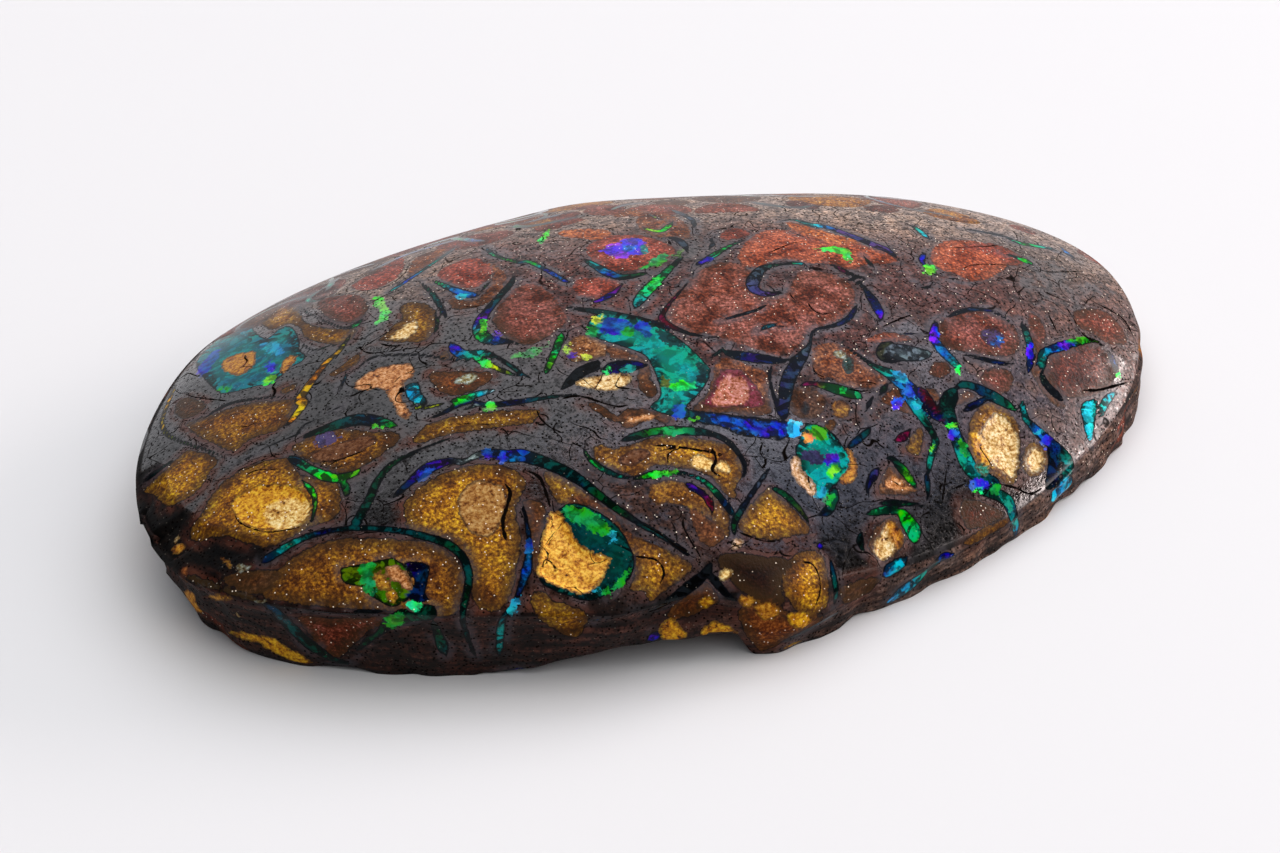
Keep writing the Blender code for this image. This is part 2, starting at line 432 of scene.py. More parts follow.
def onto_stone(line):
    """Where the camera sees each point of a line on the stone, leaving out those that miss it."""
    hits = (faces_of_stone.ray_cast(eye, sight_line(*point)) for point in line)
    return [(hit[0], hit[1]) for hit in hits if hit[0] is not None]


def within(line, places):
    """Which of the places in the view lie inside a closed line."""
    ends = np.array(line)
    starts = np.roll(ends, 1, axis=0)
    crossed = np.zeros(len(places), bool)
    for (ax, ay), (bx, by) in zip(starts, ends):
        if ay != by:
            spans = (ay > places[:, 1]) != (by > places[:, 1])
            crossed ^= spans & (places[:, 0] < (bx - ax) * (places[:, 1] - ay) / (by - ay) + ax)
    return crossed


def fill(layer, tint, points):
    """Marks the inside of a closed outline, over whatever the layer already holds there."""
    line = smooth_line(points, closed=True)
    edge = onto_stone(line)
    edge_tree = kdtree.KDTree(len(edge))
    for index, (spot, _) in enumerate(edge):
        edge_tree.insert(spot, index)
    edge_tree.balance()
    low = np.min(line, axis=0) - 24
    high = np.max(line, axis=0) + 24
    near = seen & (view_spots > low).all(axis=1) & (view_spots < high).all(axis=1)
    chosen = np.nonzero(near)[0]
    sides = np.where(within(line, view_spots[chosen]), 1.0, -1.0)
    colour = linear(tint)
    for index, side in zip(chosen, sides):
        inside = side * edge_tree.find(spots[index])[2]
        if inside > min(0.0, max(layer["inside"][index], -REACH)):
            layer["inside"][index] = max(inside, layer["inside"][index])
            layer["tint"][index] = colour


def stroke(layer, tints, widths, line):
    """Marks a seam along a line of (spot, normal) on the stone, of these widths and colours along its length."""
    colours = np.array([linear(tint) for tint in tints])
    widths = np.array(widths, float)
    last = max(1, len(line) - 1)
    for number, (spot, _) in enumerate(line):
        share = number / last
        half = np.interp(share * (len(widths) - 1), range(len(widths)), widths) / 2
        half *= min(1.0, 0.25 + min(number, last - number) / 9)
        colour = [np.interp(share * (len(tints) - 1), range(len(tints)), colours[:, part]) for part in range(3)]
        for _, index, away in tree.find_range(spot, half + REACH):
            if half - away > layer["inside"][index]:
                layer["inside"][index] = half - away
                layer["tint"][index] = colour


def score(cracks, width, line):
    """Marks a crack: each vertex near it learns how far it lies to one side, and the crack's half width."""
    last = max(1, len(line) - 1)
    for number, (spot, normal) in enumerate(line):
        ahead = line[min(last, number + 1)][0] - line[max(0, number - 1)][0]
        aside = normal.cross(ahead)
        if aside.length == 0.0:
            continue
        aside.normalize()
        half = width / 2 * min(1.0, 0.2 + min(number, last - number) / 8)
        for place, index, away in tree.find_range(spot, 0.5):
            if away < cracks["away"][index]:
                cracks["away"][index] = away
                cracks["aside"][index] = (place - spot).dot(aside)
                beyond = abs((place - spot).dot(ahead.normalized())) if number in (0, last) else 0.0
                cracks["half"][index] = half - max(0.0, beyond - 0.05)


# %% [markdown]
# ## The marks themselves
#
# Each mark is an outline or a line of a few points, in pixels of the view, and the name of its colour. They
# are drawn in the order in which they lie: nodules in the ironstone, opal around them, the cores left in the
# opal, the flashes of colour that play in it, and last the cracks.

# %% Names for the stone's colours
TINTS = {
    "gold": "#d8a61c",
    "bright_gold": "#e0ac2c",
    "pale_gold": "#f4d894",
    "rust_gold": "#c48c28",
    "olive_gold": "#bc922c",
    "amber": "#b08018",
    "umber": "#6c4830",
    "rust": "#a0602e",
    "ember": "#2a130a",
    "orange": "#ec8a4c",
    "red": "#bc5444",
    "plum": "#96504a",
    "smoke": "#b48c54",
    "cream": "#f0dcae",
    "peach": "#d09a6e",
    "grey_glass": "#a9bab8",
    "pale_teal": "#bcd9d4",
    "moss": "#4a6428",
    "deep_green": "#0e3422",
    "green": "#16983a",
    "bright_green": "#34d22c",
    "yellow": "#b9cf3a",
    "teal": "#148a80",
    "deep_teal": "#0e3a3a",
    "turquoise": "#1c9ab8",
    "blue": "#1446a8",
    "indigo": "#2a1cc0",
    "navy": "#101c48",
    "violet": "#4a20a0",
    "slate": "#3b4552",
    "potch": "#0e1114",
    "cyan": "#25c6ea",
    "island_gold": "#ffc84c",
    "garnet": "#701c34",
    "garnet_brown": "#6a2e1e",
    "shell": "#dcc0ac",
    "dusk": "#a05a52",
    "brick": "#cc6844",
    "slate_glass": "#5b666e",
    "navy_slate": "#28324a",
    "indigo_slate": "#443c66",
    "deep_violet": "#35205c",
    "violet_bright": "#4410e4",
    "blue_violet": "#2624d0",
    "magenta": "#8428d8",
    "cyan_teal": "#1fb3bd",
    "moss_dark": "#2c2e20",
    "lime": "#8fbf5a",
    "neon": "#18e070",
    "crystal": "#c0807c",
    "sea": "#0c6c74",
}
NODULES = {
    "left_tip": ("gold", (141, 491), (152, 482), (176, 459), (190, 450), (218, 458), (212, 470), (197, 492),
        (168, 507), (154, 496)),
    "brown_lens": ("amber", (186, 424), (205, 416), (252, 402), (275, 400), (293, 398), (297, 405), (284, 427),
        (250, 440), (238, 450), (226, 450), (196, 435)),
    "left_umber": ("umber", (177, 402), (190, 397), (206, 404), (198, 414), (184, 419), (175, 414)),
    "left_crest": ("gold", (262, 324), (274, 311), (290, 305), (299, 310), (306, 321), (322, 327), (345, 329),
        (357, 329), (350, 341), (333, 345), (305, 338), (300, 329), (288, 324), (274, 330)),
    "crest_plum": ("plum", (318, 302), (350, 294), (366, 300), (368, 310), (358, 322), (340, 323), (326, 318)),
    "pan": ("gold", (189, 530), (199, 516), (219, 486), (250, 465), (283, 457), (292, 462), (302, 474), (336, 482),
        (341, 494), (341, 508), (333, 521), (316, 525), (285, 541), (268, 548), (250, 545), (232, 538), (218, 537),
        (203, 542), (192, 541)),
    "amber_oval": ("amber", (290, 449), (300, 441), (330, 428), (372, 431), (395, 431), (400, 437), (396, 445),
        (360, 469), (345, 474), (330, 471), (300, 457)),
    "gold_arch": ("gold", (412, 440), (432, 422), (475, 413), (525, 409), (540, 411), (536, 420), (522, 425),
        (455, 434), (420, 444)),
    "nugget": ("rust", (428, 378), (432, 372), (445, 371), (480, 371), (492, 373), (490, 381), (468, 393),
        (452, 396), (438, 391)),
    "olive_shell": ("olive_gold", (378, 341), (385, 334), (392, 326), (402, 318), (398, 308), (408, 302),
        (424, 303), (436, 311), (438, 324), (432, 336), (420, 342)),
    "small_knot": ("amber", (438, 356), (444, 350), (449, 352), (450, 359), (443, 362)),
    "left_sliver": ("amber", (328, 374), (338, 368), (356, 354), (361, 358), (356, 365), (336, 376)),
    "tiny_sliver": ("gold", (279, 390), (289, 385), (298, 383), (294, 390), (283, 395)),
    "front_left": ("amber", (262, 596), (283, 565), (316, 544), (366, 537), (420, 541), (440, 546), (455, 556),
        (464, 570), (465, 588), (452, 615), (405, 615), (385, 612), (310, 607), (288, 603)),
    "great": ("gold", (403, 510), (408, 498), (432, 478), (470, 465), (508, 466), (527, 482), (518, 502),
        (517, 515), (522, 545), (510, 598), (500, 610), (488, 612), (476, 606), (470, 592), (469, 572), (462, 556),
        (446, 544), (425, 537), (410, 533)),
    "great_shoulder": ("gold", (543, 474), (556, 473), (588, 494), (596, 502), (585, 507), (568, 505), (555, 502)),
    "great_gap": ("rust", (522, 503), (532, 500), (545, 505), (545, 540), (536, 575), (530, 560), (527, 535)),
    "plum_round": ("plum", (492, 318), (510, 293), (522, 285), (536, 285), (550, 293), (566, 315), (562, 328),
        (532, 345), (515, 343), (503, 335)),
    "back_lens": ("red", (440, 270), (470, 258), (485, 262), (492, 272), (485, 282), (470, 288), (442, 280)),
    "rust_curl": ("rust", (487, 262), (500, 268), (506, 280), (488, 303), (458, 310), (448, 303), (452, 297),
        (468, 300), (482, 296), (494, 272)),
    "rim_red": ("red", (352, 285), (392, 262), (402, 256), (404, 268), (394, 280), (378, 288), (360, 290)),
    "rim_brown": ("rust", (412, 262), (424, 254), (450, 248), (420, 270), (408, 276)),
    "orange_lens": ("orange", (560, 236), (566, 230), (600, 229), (612, 234), (600, 240)),
}

POOLS = {
    "left_pool": ("sea", (196, 366), (210, 346), (222, 338), (250, 328), (258, 334), (268, 338), (280, 328),
        (292, 327), (299, 338), (300, 350), (306, 355), (302, 362), (290, 368), (272, 384), (258, 386), (230, 393),
        (216, 391)),
    "pocket_glass": ("turquoise", (405, 386), (418, 382), (422, 392), (428, 401), (420, 404), (408, 400)),
}

CORES = {
    "pool_island": ("rust_gold", (221, 366), (228, 357), (252, 351), (256, 358), (252, 368), (240, 375),
        (228, 373)),
    "pool_chip": ("rust_gold", (284, 358), (292, 355), (298, 358), (284, 374), (280, 372)),
    "pan_floor": ("bright_gold", (231, 509), (236, 497), (263, 484), (297, 487), (312, 505), (308, 518), (297, 527),
        (280, 531), (246, 526)),
    "amber_heart": ("umber", (310, 455), (325, 447), (362, 436), (378, 438), (368, 448), (335, 462), (318, 461)),
    "nugget_glass": ("grey_glass", (452, 382), (465, 374), (476, 373), (478, 378), (470, 384)),
    "peach_pocket": ("peach", (353, 386), (374, 369), (405, 363), (415, 368), (413, 378), (405, 382), (402, 392),
        (404, 402), (412, 414), (405, 419), (398, 414), (386, 393), (376, 388), (366, 391)),
    "olive_heart": ("cream", (389, 337), (415, 319), (417, 332), (408, 338), (396, 340)),
    "great_heart": ("smoke", (458, 500), (466, 486), (480, 480), (494, 482), (505, 490), (508, 502), (497, 530),
        (484, 537), (470, 532), (460, 518)),
}

SEAMS = {
    "left_gold": (("gold", "gold", "moss", "deep_green", "deep_green"), (0.45, 0.45, 0.4, 0.35, 0.2), (176, 384),
        (165, 411), (162, 424), (168, 435), (182, 442), (214, 453), (230, 461)),
    "lens_olive": (("moss", "olive_gold", "olive_gold", "gold"), (0.3, 0.5, 0.7, 0.8, 0.4), (352, 332), (340, 350),
        (325, 364), (301, 397), (303, 405), (286, 427)),
    "lens_black": (("potch", "potch"), (0.1, 0.3, 0.45, 0.4, 0.3, 0.1), (190, 422), (205, 417), (235, 402),
        (291, 396)),
    "left_black": (("potch", "deep_green", "potch", "potch"), (0.15, 0.25, 0.3, 0.25, 0.12), (228, 470), (264, 449),
        (296, 435), (306, 424), (350, 402)),
    "crest_dark": (("potch", "deep_green", "potch"), (0.25, 0.35, 0.3, 0.2), (299, 338), (305, 346), (315, 350),
        (330, 346), (347, 344)),
    "crest_teal": (("teal", "deep_teal", "deep_green", "deep_green", "bright_green"), (0.5, 0.3, 0.35, 0.35, 0.5),
        (298, 304), (306, 312), (340, 327), (355, 326), (364, 319)),
    "navy_hook": (("teal", "navy", "navy"), (0.3, 0.3, 0.25), (348, 371), (341, 389), (346, 395)),
    "pan_arc": (("green", "bright_green", "deep_green", "moss"), (0.35, 0.5, 0.4, 0.35, 0.2), (302, 480),
        (314, 495), (313, 517), (306, 526)),
    "fork": (("deep_green", "navy", "green", "bright_green", "green", "green", "bright_green"),
        (0.6, 0.75, 0.7, 0.9, 0.8, 0.6, 0.4), (288, 456), (328, 477), (353, 474), (362, 467)),
    "fork_tail": (("green", "deep_green", "moss"), (0.9, 0.6, 0.2), (341, 479), (346, 488), (347, 501)),
    "left_tip": (("deep_teal", "deep_green"), (0.3, 0.4, 0.35), (141, 484), (152, 475), (176, 458)),
    "great_ring": (
        ("blue", "teal", "navy", "deep_teal", "deep_teal", "deep_teal", "deep_green", "deep_teal", "deep_green", "deep_teal", "potch"),
        (0.75, 0.6, 0.5, 0.45, 0.5, 0.55, 0.65, 0.6, 0.5, 0.4, 0.3), (262, 562), (297, 541), (325, 532), (358, 528),
        (400, 531), (440, 541), (455, 549), (465, 562), (469, 580), (463, 612), (465, 630), (476, 658)),
    "dark_spine": (("deep_teal", "deep_green", "deep_green", "potch", "deep_green"), (0.7, 0.65, 0.5, 0.35, 0.2),
        (353, 528), (370, 498), (376, 484), (394, 463), (440, 442), (455, 438)),
    "great_crown": (
        ("potch", "navy", "violet", "navy", "grey_glass", "navy", "blue", "deep_teal", "deep_teal", "deep_teal", "deep_green"),
        (0.4, 0.6, 1.0, 0.6, 0.45, 0.8, 1.1, 1.0, 0.9, 0.8, 0.5), (393, 498), (424, 471), (450, 461), (462, 462),
        (478, 455), (492, 453), (508, 456), (524, 456), (556, 467), (586, 484), (596, 494)),
    "parrot": (("violet", "bright_green", "yellow", "moss", "turquoise"), (0.4, 0.7, 0.5, 0.4, 0.3), (470, 352),
        (482, 361), (508, 373), (524, 376)),
    "parrot_shade": (("deep_teal", "deep_teal"), (0.3, 0.45, 0.2), (490, 352), (520, 372), (532, 379)),
    "lime_flash": (("bright_green", "bright_green", "turquoise", "pale_teal"), (0.5, 0.65, 0.65, 0.5), (448, 403),
        (486, 392), (495, 390)),
    "pocket_yellow": (("yellow", "yellow", "moss"), (0.35, 0.45, 0.25), (408, 405), (421, 408), (446, 403)),
    "arch_navy": (("potch", "navy", "navy", "deep_green", "navy", "deep_teal", "deep_teal", "deep_teal"),
        (0.3, 0.45, 0.4, 0.55, 0.6, 0.45, 0.35, 0.3), (430, 419), (460, 405), (476, 402), (492, 405), (560, 396),
        (582, 396)),
    "arch_glint": (("grey_glass", "pale_teal"), (0.2, 0.3, 0.2), (462, 411), (475, 407), (486, 402)),
    "long_black": (("potch", "potch"), (0.2, 0.35, 0.4, 0.4, 0.3, 0.12), (355, 372), (365, 362), (380, 356),
        (420, 355), (458, 361), (475, 362)),
    "amber_brow": (("deep_green", "deep_green", "deep_teal", "navy", "green"), (0.3, 0.8, 1.2, 1.1, 0.4),
        (300, 438), (350, 421), (375, 421), (398, 427)),
    "rim_a": (("blue", "teal", "teal", "blue", "green"), (0.3, 0.4, 0.45, 0.5, 0.4), (458, 246), (420, 272),
        (388, 293)),
    "comma_tail": (("deep_green", "bright_green"), (0.3, 0.4), (345, 327), (355, 324), (365, 317)),
    "shell_left": (("potch", "deep_green", "teal", "navy", "potch"), (0.35, 0.4, 0.5, 0.45, 0.25), (419, 281),
        (434, 296), (448, 321)),
    "shell_green": (("bright_green", "green"), (0.3, 0.35, 0.3), (432, 310), (437, 318), (436, 330), (430, 338)),
    "curl_green": (("green", "green", "blue", "blue", "violet"), (0.25, 0.5, 0.7, 0.9, 0.5), (430, 279), (462, 293),
        (479, 296)),
    "curl_up": (("deep_green", "bright_green"), (0.35, 0.35), (480, 293), (486, 286), (492, 280)),
    "tail": (("potch", "deep_teal", "deep_teal", "navy", "violet", "green", "blue", "potch", "deep_green"),
        (0.4, 0.55, 0.6, 0.7, 0.9, 1.1, 1.0, 0.4, 0.2), (513, 274), (511, 283), (481, 320), (485, 338), (510, 342),
        (525, 346)),
    "rim_b": (("blue", "green", "green", "navy", "green", "blue", "blue", "navy"),
        (0.45, 0.5, 0.45, 0.6, 0.5, 0.5, 0.5, 0.35), (485, 245), (494, 255), (518, 262), (532, 263), (571, 284)),
    "column": (("bright_green", "green", "green", "bright_green", "deep_green", "green"),
        (0.6, 0.65, 0.6, 0.6, 0.5, 0.4), (563, 332), (550, 364), (546, 372), (548, 378)),
    "blue_brook": (("deep_teal", "blue", "teal", "teal", "deep_teal", "deep_teal"), (0.4, 0.9, 1.0, 0.8, 0.6, 0.3),
        (449, 341), (462, 354), (484, 353), (500, 360)),
}

FLASHES = {
    "pool_blue": ("blue", (197, 371), (212, 352), (219, 351), (216, 361), (203, 376)),
    "pool_violet": ("indigo", (264, 366), (270, 361), (277, 365), (274, 372), (266, 372)),
    "pool_lime": ("bright_green", (260, 381), (266, 376), (276, 374), (274, 381), (266, 385)),
    "pool_lime_low": ("green", (216, 389), (224, 386), (232, 388), (226, 392)),
    "pool_sky": ("turquoise", (259, 346), (268, 342), (279, 343), (284, 352), (274, 355), (264, 352)),
    "amber_violet": ("indigo_slate", (314, 442), (321, 434), (333, 433), (340, 437), (332, 444), (320, 447)),
    "brow_green": ("bright_green", (372, 427), (380, 424), (388, 426), (382, 430)),
    "crown_violet": ("indigo", (416, 476), (422, 469), (431, 467), (434, 473), (419, 482)),
    "crown_blue": ("indigo", (497, 458), (500, 453), (506, 454), (506, 460), (501, 462)),
    "crown_sea": ("blue", (480, 457), (484, 450), (492, 450), (492, 456), (486, 459)),
    "parrot_lime": ("bright_green", (480, 358), (487, 359), (493, 364), (491, 368), (483, 366)),
    "arch_green": ("bright_green", (484, 407), (489, 402), (496, 405), (495, 411), (487, 412)),
    "comma": ("bright_green", (374, 298), (380, 296), (389, 310), (388, 318), (375, 325), (379, 318), (380, 311),
        (375, 306)),
    "tail_lime": ("bright_green", (480, 322), (485, 321), (487, 330), (487, 338), (482, 335)),
    "tail_blue": ("indigo", (491, 333), (496, 330), (501, 335), (503, 341), (496, 342)),
    "rim_lime": ("bright_green", (547, 229), (551, 231), (541, 243), (538, 240), (543, 235)),
    "swoosh": ("green", (510, 357), (522, 351), (536, 348), (552, 342), (532, 357)),
    "curl_sky": ("turquoise", (455, 297), (458, 293), (468, 294), (466, 298), (459, 299)),
}

CRACKS = {
    "left_a": (0.14, (184, 393), (195, 397), (227, 401)),
    "lens": (0.08, (236, 427), (248, 426), (262, 419)),
    "pan_rim": (0.1, (234, 514), (242, 524), (268, 532), (300, 527)),
    "pan_top": (0.12, (245, 476), (258, 470), (283, 469)),
    "pan_edge": (0.12, (236, 472), (250, 465), (281, 453)),
    "amber_a": (0.1, (322, 461), (338, 460), (366, 450)),
    "oval_low": (0.08, (316, 465), (330, 468), (345, 466)),
    "rim_line": (0.08, (352, 291), (372, 290), (390, 284), (404, 274), (410, 262)),
    "under_shell": (0.14, (352, 352), (368, 344), (394, 328)),
    "under_shell_b": (0.2, (378, 343), (392, 346), (406, 344)),
    "strata_a": (0.14, (358, 346), (372, 353), (420, 347)),
    "knot_line": (0.1, (458, 306), (472, 307), (482, 305)),
    "arch_split": (0.08, (458, 424), (482, 424), (494, 425)),
    "arch_end": (0.16, (537, 411), (541, 419), (550, 427), (562, 433)),
    "great_left": (0.3, (505, 484), (510, 494), (503, 522), (506, 540)),
    "great_right": (0.25, (524, 470), (540, 478), (550, 506)),
}

# %% The middle and the back
NODULES |= {
    "far_ring": ("rust", (636, 222), (648, 212), (666, 213), (682, 221), (691, 231), (684, 240), (650, 235)),
    "violet_lens": ("red", (586, 249), (600, 239), (620, 235), (645, 236), (677, 251), (642, 268), (616, 271),
        (598, 266)),
    "low_lens": ("red", (572, 284), (586, 278), (606, 278), (620, 283), (614, 295), (596, 300), (580, 296)),
    "plum_swirl": ("dusk", (668, 322), (666, 306), (675, 293), (706, 267), (730, 262), (752, 272), (766, 295),
        (785, 293), (800, 272), (830, 273), (850, 284), (856, 300), (846, 316), (812, 332), (796, 349), (776, 355),
        (715, 336), (690, 334)),
    "small_red": ("red", (719, 236), (728, 229), (741, 229), (750, 235), (728, 240)),
    "crescent": ("brick", (738, 253), (764, 231), (815, 233), (890, 253), (898, 259), (890, 264), (868, 264),
        (852, 270), (832, 264), (808, 263), (780, 259), (760, 268), (744, 266)),
    "crescent_band": ("orange", (790, 222), (860, 242), (838, 243), (812, 237), (794, 230)),
    "orange_knot": ("peach", (565, 352), (569, 342), (580, 335), (595, 338), (608, 346), (606, 355), (592, 361),
        (572, 362)),
    "knot_body": ("rust", (609, 345), (640, 356), (651, 368), (652, 380), (659, 390), (652, 399), (641, 392),
        (636, 378), (638, 369), (624, 361), (610, 358)),
    "pool_foot": ("rust", (583, 402), (598, 404), (612, 412), (622, 422), (610, 421)),
    "gold_ring": ("rust", (617, 420), (621, 411), (634, 408), (664, 412), (672, 420), (664, 425), (650, 419),
        (636, 427), (624, 428)),
    "druse": ("rust", (689, 409), (701, 400), (710, 384), (722, 358), (760, 369), (771, 380), (769, 396),
        (772, 412), (752, 417), (730, 413), (706, 415)),
    "long_gold": ("gold", (613, 449), (626, 445), (655, 436), (680, 435), (724, 443), (736, 452), (743, 466),
        (742, 478), (736, 487), (738, 497), (733, 500), (722, 492), (710, 478), (695, 471), (656, 466), (645, 473),
        (628, 475), (598, 462), (592, 450), (602, 444)),
    "arc_gold": ("gold", (648, 492), (656, 482), (672, 480), (708, 488), (729, 512), (728, 537), (716, 524),
        (702, 513), (668, 503), (656, 504)),
    "arc_rust": ("rust", (690, 508), (716, 522), (726, 536), (716, 546), (704, 545), (694, 530)),
    "right_gold": ("gold", (737, 528), (744, 512), (766, 488), (778, 494), (803, 518), (811, 532), (796, 536),
        (774, 541), (754, 538)),
    "front_gold": ("gold", (625, 545), (634, 537), (648, 541), (680, 556), (694, 566), (682, 580), (652, 601),
        (644, 592), (630, 590), (634, 572), (634, 556)),
    "front_rust": ("rust", (566, 500), (580, 496), (598, 502), (614, 514), (624, 528), (634, 536), (624, 542),
        (612, 526), (596, 510), (580, 506)),
    "lower_gold": ("gold", (530, 598), (540, 590), (556, 600), (588, 614), (574, 638), (538, 618)),
}

POOLS |= {
    "great_pool": ("teal", (588, 322), (600, 314), (620, 315), (668, 331), (706, 363), (710, 376), (702, 391),
        (688, 406), (682, 418), (655, 411), (650, 406), (660, 393), (650, 363), (637, 352), (598, 339), (588, 332)),
    "black_leaf": ("potch", (560, 390), (568, 376), (580, 366), (598, 360), (600, 369), (586, 376), (572, 386)),
    "blue_leaf": ("navy", (602, 373), (606, 364), (620, 360), (638, 361), (648, 366), (618, 375)),
    "island_pool": ("deep_teal", (560, 508), (572, 503), (590, 507), (618, 526), (634, 556), (633, 572), (624, 585),
        (596, 600), (576, 599), (544, 586), (538, 572), (540, 540), (548, 520)),
    "broken_pool": ("teal", (800, 430), (812, 424), (828, 430), (846, 450), (852, 462), (846, 476), (836, 484),
        (820, 499), (802, 480), (795, 450), (800, 440)),
}

CORES |= {
    "druse_ring": ("garnet", (702, 405), (709, 396), (719, 372), (730, 368), (746, 373), (765, 400), (762, 407),
        (740, 408)),
    "druse_glitter": ("crystal", (712, 402), (723, 379), (734, 376), (745, 381), (749, 392), (744, 403),
        (728, 406)),
    "cream_pocket": ("cream", (574, 384), (588, 377), (624, 373), (632, 379), (626, 386), (606, 391)),
    "ring_heart": ("peach", (626, 424), (631, 415), (658, 414), (652, 420), (638, 422)),
    "long_stain": ("umber", (618, 462), (626, 452), (640, 448), (650, 451), (646, 460), (632, 466)),
    "long_heart": ("pale_gold", (689, 460), (694, 455), (706, 456), (720, 470), (694, 469)),
    "long_heart_b": ("pale_gold", (718, 470), (716, 462), (724, 459), (731, 468), (728, 474)),
    "island": ("island_gold", (548, 516), (560, 511), (567, 521), (583, 546), (608, 556), (611, 563), (596, 588),
        (586, 594), (570, 592), (541, 578), (538, 562)),
    "broken_heart": ("shell", (793, 456), (799, 458), (803, 470), (812, 480), (818, 492), (813, 498), (794, 478),
        (790, 466)),
    "broken_rim": ("rust_gold", (843, 447), (850, 449), (857, 462), (856, 476), (846, 486), (838, 480), (847, 470),
        (849, 459)),
}

